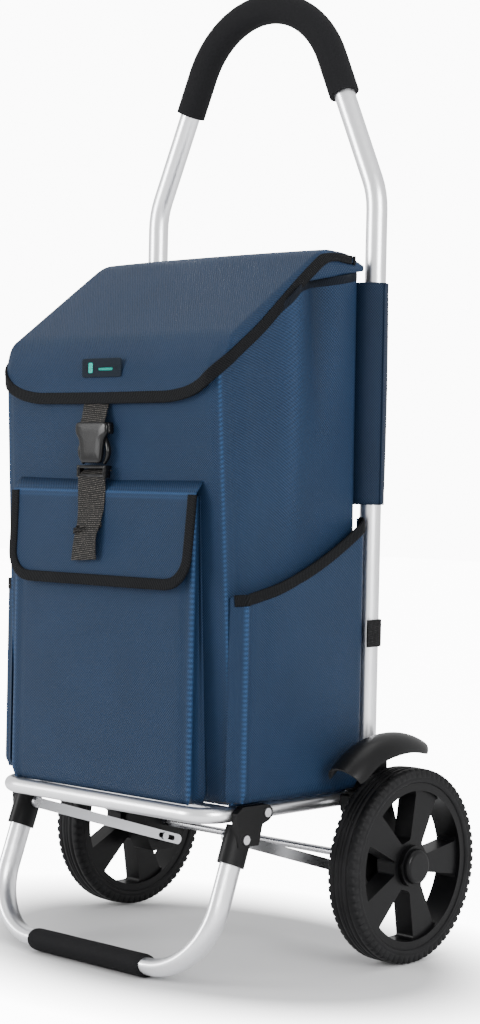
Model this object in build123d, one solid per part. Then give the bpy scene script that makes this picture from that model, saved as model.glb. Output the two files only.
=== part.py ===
from build123d import *
import os
from math import cos, radians, sin, sqrt, tan

# Folding two-wheeled shopping trolley. Millimetres, +Z up, the front faces -Y.
# Everything is drawn with the axle over y = 0 and moved by depth_shift when it is written.

# ---- driving dimensions ----
# wheels and axle
wheel_r = 100.0             # outside radius of the tyre
wheel_gap = 8.5             # foot bracket to tyre
running = 0.05              # radial play of a turning fit
tyre_width = 34.0
tyre_depth = 15.0           # from the tread to the rim's seat
tyre_shoulder_r = 3.5
rim_width = 30.0
rim_ring = 8.0              # radial thickness of the rim's ring
hub_r = 21.0
hub_width = 33.0
spoke_count = 5
window_near_hub = 7.0       # half width of a window at the hub
window_at_ring = 30.0       # half width of a window at the ring
cap_r = 18.0
cap_edge = 1.5
cap_height = 4.5
bush_r = 7.0
axle_r = 4.0
nut_r = 7.5
nut_length = 3.0

# handle
tube_r = 11.0
tube_wall = 1.5
upright_x = 160.0
upright_y = -14.0
upright_over_axle = 14.0
splay = 23.8                # lean of the handle's upper legs, degrees from upright
bend_r = 80.0
arch_r = 103.0
handle_top = 999.0          # axis of the tube at the top of the arch
grip_r = 16.0
grip_bottom = 896.0

# platform that carries the bag
platform_over_axle = 66.0
platform_r = 8.0
platform_wall = 1.2
platform_inset = 10.0       # side tubes inside the uprights
platform_past_bag = 25.0
platform_corner_r = 28.0
hinge_y = 42.0              # hinge in front of the axle
rail_r = 4.0
rail_past_hinge = 68.0
rail_from_front = 50.0

# front leg: an oval tube bent to a wide U
leg_outside = 4.5           # past the platform's side tubes
leg_half_thick = 8.5        # in the plane of the U
leg_half_deep = 13.0        # across the plane of the U
leg_wall = 1.5
leg_lean = 20.0
leg_corner_r = 70.0
socket_behind_front = 32.0  # middle of the socket's mouth
socket_drop = 49.0
socket_wall = 3.0
foot_from_corner = 2.5      # end of the foam to the start of the bend
foot_foam = 3.0
leg_pivot_behind = 39.0     # the mouth of the socket

# rivets and links
rivet_r = 2.5
rivet_head_r = 4.5
rivet_head = 1.6
link_height = 11.0
link_thick = 3.0
link_pivot_drop = 24.0
slot_pin_y = -6.0
slot_pin_drop = 15.0        # below the axle
slot_pin_r = 2.0
slot_play = 0.8             # play of the pin across the slot
slot_spare = 1.0            # of the slot past the pin's travel
link_end = 12.0             # metal past the slot

# foot brackets of the uprights
bracket_inside = 3.0        # walls beside the upright
bracket_outside = 5.0
bracket_over_platform = 20.0
bracket_drop = 32.0         # below the axle
bracket_rear = 24.0
bracket_wall = 4.0          # in front of the upright
cheek_inner_gap = 0.3

# mudguards
guard_centre_y = -30.0
guard_lift = 20.0           # its arc's centre above the axle
guard_gap = 18.0            # its arc's radius past the tyre's
guard_front = 132.0         # degrees from +Y
guard_rear = 61.0
guard_past_inner = 2.5      # blade past the tyre's sides
guard_past_outer = 7.5
guard_crown = 20.0
guard_thick = 2.5
screw_r = 1.8
screw_depth = 4.0           # of the guard's screws in the bracket
screw_head_r = 3.5
screw_head = 1.6
stay_thick = 3.0

# bag
bag_gap = 0.3               # above the platform's tubes
grip_clear = 1.5            # between the grip and the bag as it rises
bag_front_low = 215.0
bag_flare = 32.0            # forward lean of the bag's front
bag_outside = 2.0           # bag's half width past the uprights' middle
bag_taper = 6.0
bag_height_z = 706.0        # rim at the back
rim_knee_y = 131.0          # where the rim starts to fall to the front
rim_knee_z = 686.0
rim_front_z = 598.0         # rim at the front
bag_corner_r = 14.0
bag_wall = 2.5
board_thick = 4.0
rim_band = 9.0
rim_band_thick = 0.8

# lid
lid_gap = 0.6
lid_thick = 2.0
lid_ridge_y = 97.0
lid_ridge_z = 726.0
lid_shoulder_z = 617.0
lid_front_low = 565.0
lid_skirt = 16.0
lid_corner_r = 40.0         # of the front skirt, seen from the front
lid_lap = 3.0               # lid's side skirts below the bag's rim
lid_hinge_z = 718.0
binding_width = 10.0
binding_thick = 1.2

# pockets
pocket_inset = 33.0         # inside the bag's sides
pocket_depth = 28.0
pocket_top = 474.0
pocket_wall = 2.0
pocket_corner_r = 8.0
flap_past_pocket = 6.0
flap_hinge_z = 478.0
flap_low = 384.0
flap_thick = 1.8
flap_gap = 0.5
flap_corner_r = 20.0
side_depth = 12.0
side_front_inset = 3.0
side_rear_inset = 2.5
side_top_front = 381.0
side_top_step = 8.0         # level stretch at the front of the side pocket's mouth
side_top_rear = 452.0

# sleeve and loops round the uprights
sleeve_side_play = 0.5
sleeve_rear_play = 0.6      # behind the grip, which passes inside as the bag rises
sleeve_low = 468.0
sleeve_high = 696.0
sleeve_wall = 1.4
sleeve_corner_r = 19.0
sleeve_sewn = 6.0           # of the sleeve's front strips on the flat of the bag's back
loop_play = 1.2             # play of a loop round its upright
loop_wall = 1.8
loop_low = 322.0
loop_high = 350.0

# strap and buckle
strap_x = -12.0             # middle of the strap and the buckle
strap_half = 18.0
strap_thick = 1.6
buckle_out = 0.1            # middle plane of the buckle in front of the lid
buckle_half_thick = 5.0
socket_half = 23.0
socket_body_half = 16.0
socket_top_z = 546.0
socket_step_z = 533.0
socket_low_z = 507.0
socket_plate = 2.5
plug_top_z = 504.0
plug_low_z = 490.0
plug_half = 21.0
arm_thick = 3.2
arm_length = 27.0
arm_root_x = 13.0
arm_tip_x = 17.5
tail_low_z = 407.0
tail_gap = 0.4

# ---- dependent dimensions ----
axle_z = wheel_r
upright_bottom = axle_z + upright_over_axle
platform_z = axle_z + platform_over_axle
bracket_inner = upright_x - tube_r - bracket_inside
bracket_outer = upright_x + tube_r + bracket_outside
bracket_top = platform_z + bracket_over_platform
bracket_low = axle_z - bracket_drop
wheel_x = bracket_outer + wheel_gap + tyre_width / 2
guard_centre_z = axle_z + guard_lift
guard_r = wheel_r + guard_gap
guard_inner = wheel_x - tyre_width / 2 - guard_past_inner
guard_outer = wheel_x + tyre_width / 2 + guard_past_outer
stay_face = bracket_outer + stay_thick
platform_x = upright_x - platform_inset
platform_front = bag_front_low + platform_past_bag
rail_places = (hinge_y + rail_past_hinge, platform_front - rail_from_front)
leg_x = platform_x + leg_outside
foot_half_length = leg_x - leg_corner_r - foot_from_corner
socket_y = platform_front - socket_behind_front
socket_z = platform_z - socket_drop
leg_pivot_y = socket_y - leg_pivot_behind
link_pivot_z = platform_z - link_pivot_drop
slot_pin_z = axle_z - slot_pin_drop
bag_back = grip_r - upright_y + grip_clear
bag_front_high = bag_front_low + bag_flare
bag_half_low = upright_x + bag_outside
bag_half_high = bag_half_low - bag_taper
pocket_half = bag_half_low - pocket_inset
pocket_front = bag_front_low + pocket_depth
flap_half = pocket_half + flap_past_pocket
side_out = bag_half_low + side_depth
side_front = bag_front_low - side_front_inset
side_rear = bag_back + side_rear_inset
sleeve_half = upright_x + tube_r + sleeve_side_play + sleeve_wall
sleeve_rear = upright_y + grip_r + sleeve_rear_play + sleeve_wall
bag_bottom = platform_z + platform_r + bag_gap
pocket_bottom = bag_bottom
side_bottom = bag_bottom + 4
slope_y = sin(radians(leg_lean))
slope_z = cos(radians(leg_lean))
foot_half_deep = leg_half_deep + foot_foam
foot_half_thick = leg_half_thick + foot_foam
foot_rise = sqrt((foot_half_deep * slope_y) ** 2 + (foot_half_thick * slope_z) ** 2)
foot_reach = sqrt((foot_half_deep * slope_z) ** 2 + (foot_half_thick * slope_y) ** 2)
leg_length = (socket_z - foot_rise) / slope_z
foot_front = socket_y + leg_length * slope_y + foot_reach
socket_length = (platform_z - platform_r - socket_z - (leg_half_deep + socket_wall) * slope_y - 0.5) / slope_z
link_pivot_y = socket_y - (link_pivot_z - socket_z) * slope_y / slope_z
socket_outer = leg_x + leg_half_thick + socket_wall
socket_inner = leg_x - leg_half_thick - socket_wall
link_outer = socket_inner - 1.5
link_inner = link_outer - link_thick
cheek_inner = platform_x + platform_r + cheek_inner_gap
rim_seat_r = wheel_r - tyre_depth
hub_face = wheel_x + hub_width / 2
flap_back_y = pocket_front + flap_gap
flap_front_y = flap_back_y + flap_thick
tail_back_y = flap_front_y + tail_gap
tail_front_y = tail_back_y + strap_thick
depth_shift = (foot_front - wheel_r) / 2


# ---- helpers ----
def write(name, *solids):
    """Write the solids of one node, moved so that the trolley's box is centred on the origin."""
    place = Pos(0, depth_shift, 0)
    group = solids[0] if len(solids) == 1 else Compound(children=list(solids))
    export_step(place * group, f"parts/{name}.step")


def mirrored(shape):
    """The left-hand copy of a right-hand shape."""
    return mirror(shape, about=Plane.YZ)


def pair(shape):
    """A right-hand shape and its left-hand copy."""
    return [shape, mirrored(shape)]


def prism(points, x_from, x_to, corner_r=0.0):
    """A (y, z) outline pushed from one x plane to another; corner_r rounds all its corners."""
    outline = Polygon(*points, align=None)
    if corner_r:
        outline = fillet(outline.vertices(), corner_r)
    return Pos(x_from, 0, 0) * extrude(Plane.YZ * outline, x_to - x_from, dir=(1, 0, 0))


def block(x_from, x_to, y_from, y_to, z_from, z_to):
    """A box between pairs of planes."""
    box = Box(x_to - x_from, y_to - y_from, z_to - z_from, align=Align.MIN)
    return Pos(x_from, y_from, z_from) * box


def rod(radius, x_from, x_to, y, z):
    """A cylinder along X."""
    along = Plane(origin=(x_from, y, z), x_dir=(0, 1, 0), z_dir=(1, 0, 0))
    return extrude(along * Circle(radius), x_to - x_from)


def oval_tube(path, across, deep, wall):
    """A hollow oval tube along a path; across is measured in the path's own plane, along X."""
    start = Plane(origin=path @ 0, x_dir=(1, 0, 0), z_dir=path % 0)
    outside = sweep(start * Ellipse(across, deep), path=path)
    inside = sweep(start * Ellipse(across - wall, deep - wall), path=path)
    return outside - inside


def round_tube(path, radius, wall, x_dir):
    """A hollow round tube along a path."""
    start = Plane(origin=path @ 0, x_dir=x_dir, z_dir=path % 0)
    outside = sweep(start * Circle(radius), path=path)
    inside = sweep(start * Circle(radius - wall), path=path)
    return outside - inside


def rivet(x_from, x_to, y, z, radius=rivet_r, heads=(True, True)):
    """A rivet along X: its shank between two faces and a low head past each."""
    body = rod(radius, x_from, x_to, y, z)
    if heads[0]:
        body += rod(rivet_head_r, x_from - rivet_head, x_from, y, z)
    if heads[1]:
        body += rod(rivet_head_r, x_to, x_to + rivet_head, y, z)
    return body


def hole(y, z, radius):
    """A cutter along X through everything on the right-hand side."""
    return rod(radius, platform_x - 40, platform_x + 60, y, z)


# ---- handle ----
def handle_corners():
    """The right-hand bend's corner and the corner above the arch, before rounding."""
    lean = radians(splay)
    arch_side_x = arch_r * cos(lean)
    arch_side_z = handle_top - arch_r + arch_r * sin(lean)
    bend_z = arch_side_z - (upright_x - arch_side_x) / tan(lean)
    apex_z = arch_side_z + arch_side_x / tan(lean)
    return (upright_x, upright_y, bend_z), (0, upright_y, apex_z)


def handle_outline(bottom):
    """The handle's middle line: uprights, a bend inwards and one wide arch."""
    bend, apex = handle_corners()
    points = [
        (-upright_x, upright_y, bottom),
        (-bend[0], bend[1], bend[2]),
        apex,
        bend,
        (upright_x, upright_y, bottom),
    ]
    return FilletPolyline(*points, radius=[bend_r, arch_r, bend_r])


def handle_tube():
    tube = round_tube(handle_outline(upright_bottom), tube_r, tube_wall, (1, 0, 0))
    for side in (-1, 1):
        tube -= rod(rivet_r, side * upright_x - 20, side * upright_x + 20, upright_y, foot_rivet_z)
    return tube


def handle_grip():
    """Foam over the arch, from one straight leg over the top to the other."""
    bend, apex = handle_corners()
    share = (grip_bottom - bend[2]) / (apex[2] - bend[2])
    end_x = upright_x * (1 - share)
    ends = [(-end_x, upright_y, grip_bottom), apex, (end_x, upright_y, grip_bottom)]
    path = FilletPolyline(*ends, radius=arch_r)
    return round_tube(path, grip_r, grip_r - tube_r, (1, 0, 0))


# ---- foot brackets, axle and mudguards ----
foot_rivet_z = (bracket_top + platform_z) / 2 - 30


def foot_bracket():
    """Right-hand bracket: block round the upright, axle boss, hinge cheek and slot-pin boss."""
    front = upright_y - tube_r - bracket_wall
    outline = [
        (front, bracket_top),
        (upright_y + tube_r + bracket_wall + 1, bracket_top),
        (bracket_rear, axle_z + 30),
        (bracket_rear, bracket_low + 10),
        (bracket_rear - 10, bracket_low),
        (front + 12, bracket_low),
        (front, bracket_low + 20),
    ]
    body = prism(outline, bracket_inner, bracket_outer, 3.0)
    cheek = [
        (-hinge_y - platform_r, platform_z + platform_r - 2),
        (front + 4, platform_z + platform_r),
        (front + 4, platform_z - 34),
        (-hinge_y - platform_r, platform_z - platform_r - 2),
    ]
    body += prism(cheek, cheek_inner, bracket_outer - 6, 2.0)
    body += rod(7.0, link_outer + 0.3, bracket_inner, slot_pin_y, slot_pin_z)
    body -= Pos(upright_x, upright_y, upright_bottom) * Cylinder(
        tube_r, bracket_top, align=(Align.CENTER, Align.CENTER, Align.MIN))
    body -= hole(0, axle_z, axle_r)
    body -= hole(-hinge_y, platform_z, rivet_r)
    body -= hole(slot_pin_y, slot_pin_z, slot_pin_r)
    body -= hole(upright_y, foot_rivet_z, rivet_r)
    for y, z in guard_screw_places():
        body -= rod(screw_r, bracket_outer - screw_depth, bracket_outer + 1, y, z)
    return body


def guard_screw_places():
    return [(upright_y - 6, bracket_top - 22), (upright_y + 8, bracket_top - 22)]


def mudguard():
    """Right-hand mudguard: an arched blade on an arc, tapered at its rear tip, and its stay."""
    middle = (guard_inner + guard_outer) / 2
    half = (guard_outer - guard_inner) / 2

    def section(angle, share):
        """The blade's arched section at an angle, its width scaled by share."""
        a = radians(angle)
        origin = (middle, guard_centre_y + guard_r * cos(a), guard_centre_z + guard_r * sin(a))
        plane = Plane(origin=origin, x_dir=(1, 0, 0), z_dir=(0, -sin(a), cos(a)))
        width = half * share
        crown = guard_crown * share
        outer = ThreePointArc((-width, -crown), (0, 0), (width, -crown))
        inner = ThreePointArc((width - 1.0, -crown), (0, -guard_thick), (-width + 1.0, -crown))
        sides = [Line(outer @ 1, inner @ 0), Line(inner @ 1, outer @ 0)]
        return plane * make_face(Wire([outer, sides[0], inner, sides[1]]))

    steps = [(guard_front, 0.92), (120, 1.0), (104, 1.0), (88, 0.98), (74, 0.88), (64, 0.66), (guard_rear, 0.32)]
    blade = loft([section(angle, share) for angle, share in steps])
    stay = [
        (upright_y - 12, guard_centre_z + guard_r - guard_crown + 1),
        (upright_y + 12, guard_centre_z + guard_r - guard_crown + 1),
        (upright_y + 16, bracket_top - 34),
        (upright_y - 16, bracket_top - 34),
    ]
    plate = prism(stay, bracket_outer, stay_face, 2.0)
    edge_z = guard_centre_z + guard_r - guard_crown
    tongue = block(bracket_outer, guard_inner + 3, upright_y - 12, upright_y + 12, edge_z - 3, edge_z + 1.5)
    body = blade + plate + tongue
    for y, z in guard_screw_places():
        body -= rod(screw_r, bracket_outer - 1, stay_face + 1, y, z)
    return body


def guard_screws():
    """Pan-head screws that hold the stay on the bracket."""
    screws = []
    for y, z in guard_screw_places():
        shank = rod(screw_r, bracket_outer - screw_depth, stay_face, y, z)
        screws.append(shank + rod(screw_head_r, stay_face, stay_face + screw_head, y, z))
    return screws


# ---- wheel ----
def tyre():
    """Right-hand tyre: a rounded section turned about the axle, open to the rim's seat."""
    middle_r = (wheel_r + rim_seat_r) / 2
    section = Pos(0, middle_r) * Rectangle(tyre_width, tyre_depth)
    section = fillet(section.vertices().group_by(Axis.Y)[-1], tyre_shoulder_r)
    return Pos(wheel_x, 0, axle_z) * revolve(section, Axis.X)


def window():
    """One opening between two spokes: narrow at the hub, wide and rounded at the ring."""
    outer = rim_seat_r - rim_ring
    reach = sqrt(outer ** 2 - window_at_ring ** 2)
    near = hub_r + 5
    flat = Polygon((-window_near_hub, near), (window_near_hub, near), (window_at_ring, reach),
                   (0, outer + 6), (-window_at_ring, reach), align=None)
    flat = fillet(flat.vertices(), 4.0) & Circle(outer)
    plane = Plane(origin=(wheel_x - rim_width, 0, axle_z), x_dir=(0, 1, 0), z_dir=(1, 0, 0))
    return extrude(plane * flat, 2 * rim_width)


def rim():
    """Right-hand rim: ring, five spokes left between the windows, and the hub."""
    half = rim_width / 2
    body = rod(rim_seat_r, wheel_x - half, wheel_x + half, 0, axle_z)
    dish = rod(rim_seat_r - rim_ring, wheel_x + half - 4, wheel_x + half + 1, 0, axle_z)
    body -= dish
    body -= mirror(dish, about=Plane((wheel_x, 0, 0), z_dir=(1, 0, 0)))
    body += rod(hub_r, wheel_x - hub_width / 2, hub_face, 0, axle_z)
    opening = window()
    for turn in range(spoke_count):
        angle = (turn + 0.5) * 360 / spoke_count - 90
        body -= Pos(0, 0, axle_z) * (Rot(angle, 0, 0) * (Pos(0, 0, -axle_z) * opening))
    return body - rod(bush_r, wheel_x - hub_width, wheel_x + hub_width, 0, axle_z)


def hub_bush():
    body = rod(bush_r, wheel_x - hub_width / 2, hub_face, 0, axle_z)
    return body - rod(axle_r + running, wheel_x - hub_width, wheel_x + hub_width, 0, axle_z)


def hub_cap():
    """Domed cap over the axle's end and its push nut."""
    body = rod(cap_r, hub_face, hub_face + cap_edge + cap_height, 0, axle_z)
    rim_edge = body.edges().filter_by(GeomType.CIRCLE).group_by(Axis.X)[-1]
    body = fillet(rim_edge, cap_height - 0.2)
    return body - rod(nut_r + 1.5, hub_face - 1, hub_face + nut_length + 0.6, 0, axle_z)


def axle():
    end = hub_face + nut_length
    return rod(axle_r, -end, end, 0, axle_z)


def push_nut():
    return rod(nut_r, hub_face + 0.3, hub_face + nut_length, 0, axle_z) - rod(axle_r, 0, 400, 0, axle_z)


def spacer_washer():
    """Between the foot bracket and the hub."""
    body = rod(bush_r + 1, bracket_outer + 4.4, wheel_x - hub_width / 2 - 0.3, 0, axle_z)
    body += rod(bush_r - 1.5, bracket_outer, bracket_outer + 4.4, 0, axle_z)
    return body - rod(axle_r, 0, 400, 0, axle_z)


# ---- platform ----
def platform_tube():
    """The U that carries the bag, with the holes of its hinge and of the leg's pivots."""
    rear = -hinge_y + platform_r
    points = [
        (-platform_x, rear, platform_z),
        (-platform_x, -platform_front, platform_z),
        (platform_x, -platform_front, platform_z),
        (platform_x, rear, platform_z),
    ]
    path = FilletPolyline(*points, radius=platform_corner_r)
    start = Plane(origin=path @ 0, x_dir=(1, 0, 0), z_dir=path % 0)
    body = sweep(start * Circle(platform_r), path=path)
    for side in (-1, 1):
        for y in (-hinge_y, -leg_pivot_y):
            body -= rod(rivet_r + running, side * platform_x - 12, side * platform_x + 12, y, platform_z)
    return body - sweep(start * Circle(platform_r - platform_wall), path=path)


def platform_rails():
    """Cross rails between the side tubes, notched round them."""
    rails = []
    for place in rail_places:
        rail = rod(rail_r, -platform_x, platform_x, -place, platform_z)
        for side in (-1, 1):
            rail -= Pos(side * platform_x, -place, platform_z) * Rot(90, 0, 0) * Cylinder(platform_r, 40)
        rails.append(rail)
    return rails


# ---- leg, its brackets and the links ----
def leg_point(x, along):
    """A point on the leg's slanted plane, measured down from the socket's mouth."""
    return (x, -socket_y - along * slope_y, socket_z - along * slope_z)


def leg_tube():
    top = -socket_length + 3
    points = [
        leg_point(-leg_x, top),
        leg_point(-leg_x, leg_length),
        leg_point(leg_x, leg_length),
        leg_point(leg_x, top),
    ]
    path = FilletPolyline(*points, radius=leg_corner_r)
    body = oval_tube(path, leg_half_thick, leg_half_deep, leg_wall)
    for side in (-1, 1):
        body -= rod(rivet_r, side * leg_x - 20, side * leg_x + 20, -link_pivot_y, link_pivot_z)
    return body


def leg_foot():
    """Foam sleeve on the leg's level stretch."""
    start = leg_point(-foot_half_length, leg_length)
    plane = Plane(origin=start, x_dir=(0, slope_z, -slope_y), z_dir=(1, 0, 0))
    ring = Ellipse(foot_half_deep, foot_half_thick) - Ellipse(leg_half_deep, leg_half_thick)
    return extrude(plane * ring, 2 * foot_half_length)


def leg_bracket():
    """Right-hand bracket: oval socket for the leg, and an arm beside the platform's tube."""
    mouth = Plane(origin=leg_point(leg_x, 0), x_dir=(1, 0, 0), z_dir=(0, slope_y, slope_z))
    outside = Ellipse(leg_half_thick + socket_wall, leg_half_deep + socket_wall)
    body = extrude(mouth * outside, socket_length)
    top = leg_point(leg_x, -socket_length)
    arm = [
        (-leg_pivot_y + 2, platform_z + platform_r),
        (-leg_pivot_y + platform_r, platform_z + 3),
        (-leg_pivot_y + platform_r, platform_z - 4),
        (-leg_pivot_y + 3, platform_z - platform_r),
        (-leg_pivot_y - 6, platform_z - platform_r - 3),
        (top[1] + 15, socket_z + 18),
        (top[1] - 14, socket_z + 18),
        (-socket_y - 4, platform_z + 2),
        (-socket_y + 4, platform_z + platform_r),
    ]
    body += prism(arm, cheek_inner, socket_outer, 1.5)
    body += rod(6.0, link_outer, socket_inner + 2, -link_pivot_y, link_pivot_z)
    bore = extrude(mouth * Ellipse(leg_half_thick, leg_half_deep), socket_length - 3)
    body -= bore
    body -= hole(-leg_pivot_y, platform_z, rivet_r)
    return body - hole(-link_pivot_y, link_pivot_z, rivet_r)


def leg_pivot_rivet():
    return rivet(platform_x - platform_r, socket_outer, -leg_pivot_y, platform_z, heads=(False, True))


def link_rivet():
    return rivet(link_inner, socket_outer, -link_pivot_y, link_pivot_z)


def pin_distance(fold):
    """From the link's front pivot to the slot pin, with the platform folded by an angle."""
    arm = leg_pivot_y - hinge_y
    dy = arm * cos(radians(fold)) + hinge_y - leg_pivot_y + link_pivot_y + slot_pin_y
    dz = arm * sin(radians(fold)) + link_pivot_z - slot_pin_z
    return sqrt(dy ** 2 + dz ** 2)


def slot_ends():
    """The slot's ends along the link: the pin's travel over the whole fold, and a little spare."""
    distances = [pin_distance(fold) for fold in range(0, 91, 5)]
    return min(distances) - slot_spare, max(distances) + slot_spare


def link_direction():
    """Unit vector (y, z) from the link's front pivot to its slot pin."""
    dy = slot_pin_y + link_pivot_y
    dz = slot_pin_z - link_pivot_z
    length = sqrt(dy ** 2 + dz ** 2)
    return dy / length, dz / length


def link_bar():
    """Right-hand link: a flat bar with a round hole in front and a slot at its rear end."""
    near, far = slot_ends()
    y_step, z_step = link_direction()
    plane = Plane(origin=(link_inner, -link_pivot_y, link_pivot_z), x_dir=(0, y_step, z_step), z_dir=(1, 0, 0))
    half = link_height / 2
    reach = far + slot_pin_r + link_end - half
    flat = Pos(reach / 2, 0) * SlotCenterToCenter(reach, link_height)
    flat -= Circle(rivet_r + running)
    flat -= Pos((near + far) / 2, 0) * SlotCenterToCenter(far - near, 2 * (slot_pin_r + slot_play))
    return extrude(plane * flat, link_thick)


def slot_pin():
    """Pin on the foot bracket that the link's slot slides on."""
    body = rod(slot_pin_r, link_inner - 0.4, bracket_inner + 12, slot_pin_y, slot_pin_z)
    return body + rod(rivet_head_r, link_inner - 2.0, link_inner - 0.4, slot_pin_y, slot_pin_z)


# ---- bag ----
def bag_plan(z, inset):
    """The bag's rounded rectangle at a height, pulled in by inset."""
    share = (z - bag_bottom) / (bag_height_z - bag_bottom)
    half = bag_half_low + (bag_half_high - bag_half_low) * share - inset
    front = bag_front_low + (bag_front_high - bag_front_low) * share - inset
    back = bag_back + inset
    corner = max(bag_corner_r - inset, 2.0)
    outline = RectangleRounded(2 * half, front - back, corner)
    return Pos(0, -(front + back) / 2, z) * outline


def bag_block(inset, z_from, z_to):
    """Solid of the bag's tapered shape between two heights."""
    return loft([bag_plan(z_from, inset), bag_plan(z_to, inset)])


def front_face_y(z):
    """How far the bag's front face is in front of the axle at a height."""
    share = (z - bag_bottom) / (bag_height_z - bag_bottom)
    return bag_front_low + (bag_front_high - bag_front_low) * share


def above_rim(offset):
    """Everything above the bag's rim, lowered by offset: nearly level behind, sloping in front."""
    rear_fall = (bag_height_z - rim_knee_z) / (rim_knee_y - bag_back)
    front_fall = (rim_knee_z - rim_front_z) / (front_face_y(rim_front_z) - rim_knee_y)
    beyond = 60.0
    far_front = front_face_y(rim_front_z) + beyond
    points = [
        (-bag_back + beyond, bag_height_z - offset + beyond * rear_fall),
        (-rim_knee_y, rim_knee_z - offset),
        (-far_front, rim_front_z - offset - beyond * front_fall),
        (-far_front, bag_height_z + 400),
        (-bag_back + beyond, bag_height_z + 400),
    ]
    return prism(points, -250, 250)


def bag_body():
    shell = bag_block(0, bag_bottom, bag_height_z) - bag_block(bag_wall, bag_bottom + bag_wall, bag_height_z + 20)
    return shell - above_rim(0)


def bag_board():
    inset = bag_wall + 0.3
    low = bag_bottom + bag_wall
    return bag_block(inset, low, low + board_thick)


def rim_binding():
    """Tape folded over the rim, outside and inside."""
    outside = bag_block(-rim_band_thick, bag_bottom, bag_height_z + 20)
    inside = bag_block(bag_wall + rim_band_thick, bag_bottom, bag_height_z + 20)
    ring = (outside - inside) & above_rim(rim_band)
    return ring - above_rim(-rim_band_thick) - bag_body()


def front_pocket():
    """Box pocket on the bag's front, open at the top."""
    outside = block(-pocket_half, pocket_half, -pocket_front, -bag_front_low + 20, pocket_bottom, pocket_top)
    corners = outside.edges().filter_by(Axis.Z).group_by(Axis.Y)[0]
    outside = fillet(corners, pocket_corner_r)
    inner_half = pocket_half - pocket_wall
    inside = block(-inner_half, inner_half, -pocket_front + pocket_wall, -bag_front_low + 20,
                   pocket_bottom + pocket_wall, pocket_top + 10)
    inner_corners = inside.edges().filter_by(Axis.Z).group_by(Axis.Y)[0]
    inside = fillet(inner_corners, pocket_corner_r - pocket_wall)
    return outside - inside - bag_block(0, bag_bottom, bag_height_z)


def side_outline(inset, lift):
    """Side pocket's (y, z) outline: level mouth in front, then rising to the rear."""
    return [
        (-side_rear - inset, side_bottom + inset),
        (-side_rear - inset, side_top_rear + lift),
        (-side_front + side_top_step, side_top_front + lift),
        (-side_front + inset, side_top_front + lift),
        (-side_front + inset, side_bottom + inset),
    ]


def side_pocket():
    """Right-hand gusseted pocket, open at the top."""
    outside = prism(side_outline(0, 0), bag_half_high - 20, side_out)
    inside = prism(side_outline(pocket_wall, 20), bag_half_high - 21, side_out - pocket_wall)
    return outside - inside - bag_block(0, bag_bottom, bag_height_z)


def side_binding():
    """Tape along the side pocket's mouth."""
    top = [(y, z) for y, z in side_outline(0, 0)[1:4]]
    low = [(y, z - binding_width) for y, z in reversed(top)]
    return prism(top + low, side_out, side_out + binding_thick)


def sleeve():
    """Flat tunnel on the bag's back that the handle's uprights run through."""
    outside = block(-sleeve_half, sleeve_half, -bag_back, sleeve_rear, sleeve_low, sleeve_high)
    outside = fillet(outside.edges().filter_by(Axis.Z).group_by(Axis.Y)[-1], sleeve_corner_r)
    inner = sleeve_half - sleeve_wall
    inside = block(-inner, inner, -bag_back + sleeve_wall, sleeve_rear - sleeve_wall, sleeve_low - 1, sleeve_high + 1)
    inside = fillet(inside.edges().filter_by(Axis.Z).group_by(Axis.Y)[-1], sleeve_corner_r - sleeve_wall)
    open_x = bag_half_high - bag_corner_r - sleeve_sewn
    front = block(-open_x, open_x, -bag_back - 1, -bag_back + sleeve_wall + 1, sleeve_low - 1, sleeve_high + 1)
    return outside - inside - front


def webbing_loop():
    """Right-hand webbing loop from the bag's back round the upright."""
    inner_r = tube_r + loop_play
    outer_r = inner_r + loop_wall
    reach = bag_back + upright_y

    def u_shape(radius, depth):
        return Circle(radius) + Pos(0, -depth / 2) * Rectangle(2 * radius, depth)

    flat = u_shape(outer_r, reach) - u_shape(inner_r, reach - loop_wall)
    return Pos(upright_x, upright_y, loop_low) * extrude(flat, loop_high - loop_low)


# ---- lid ----
lid_inner_half = (bag_half_low + (bag_half_high - bag_half_low)
                  * (lid_front_low - bag_bottom) / (bag_height_z - bag_bottom) + rim_band_thick + lid_gap)
lid_half = lid_inner_half + lid_thick
lid_front = front_face_y(rim_front_z) + rim_band_thick + lid_gap + lid_thick
buckle_y = lid_front + buckle_out


def lid_profile(inset):
    """The lid's (y, z) top line from its rear edge to the bottom of its front."""
    return [
        (-bag_back - inset, lid_hinge_z - inset),
        (-bag_back - 14, lid_ridge_z - 3 - inset),
        (-lid_ridge_y, lid_ridge_z - inset),
        (-lid_front + inset, lid_shoulder_z - inset * 0.7),
        (-lid_front + inset, lid_front_low),
    ]


def lid_skirt_line():
    """Lower edge of the lid's side skirts, from the front to the rear, just over the bag's rim."""
    return [
        (-lid_front, lid_front_low),
        (-lid_front + lid_skirt, lid_front_low + 4),
        (-lid_front + lid_skirt + 6, rim_front_z - 6),
        (-rim_knee_y, rim_knee_z - lid_lap),
        (-bag_back - 8, bag_height_z - lid_lap),
        (-bag_back - 8, bag_height_z + rim_band_thick + 1),
        (-bag_back, bag_height_z + rim_band_thick + 1),
    ]


def lid_plan(inset):
    """Upright block of the lid's plan: rounded front corners, open behind."""
    half = lid_half - inset
    front = lid_front - inset
    outline = Pos(0, -(front - 60) / 2) * Rectangle(2 * half, front + 60)
    outline = fillet(outline.vertices().group_by(Axis.Y)[0], bag_corner_r + lid_thick - inset)
    return Pos(0, 0, lid_front_low - 30) * extrude(outline, lid_ridge_z)


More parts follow.
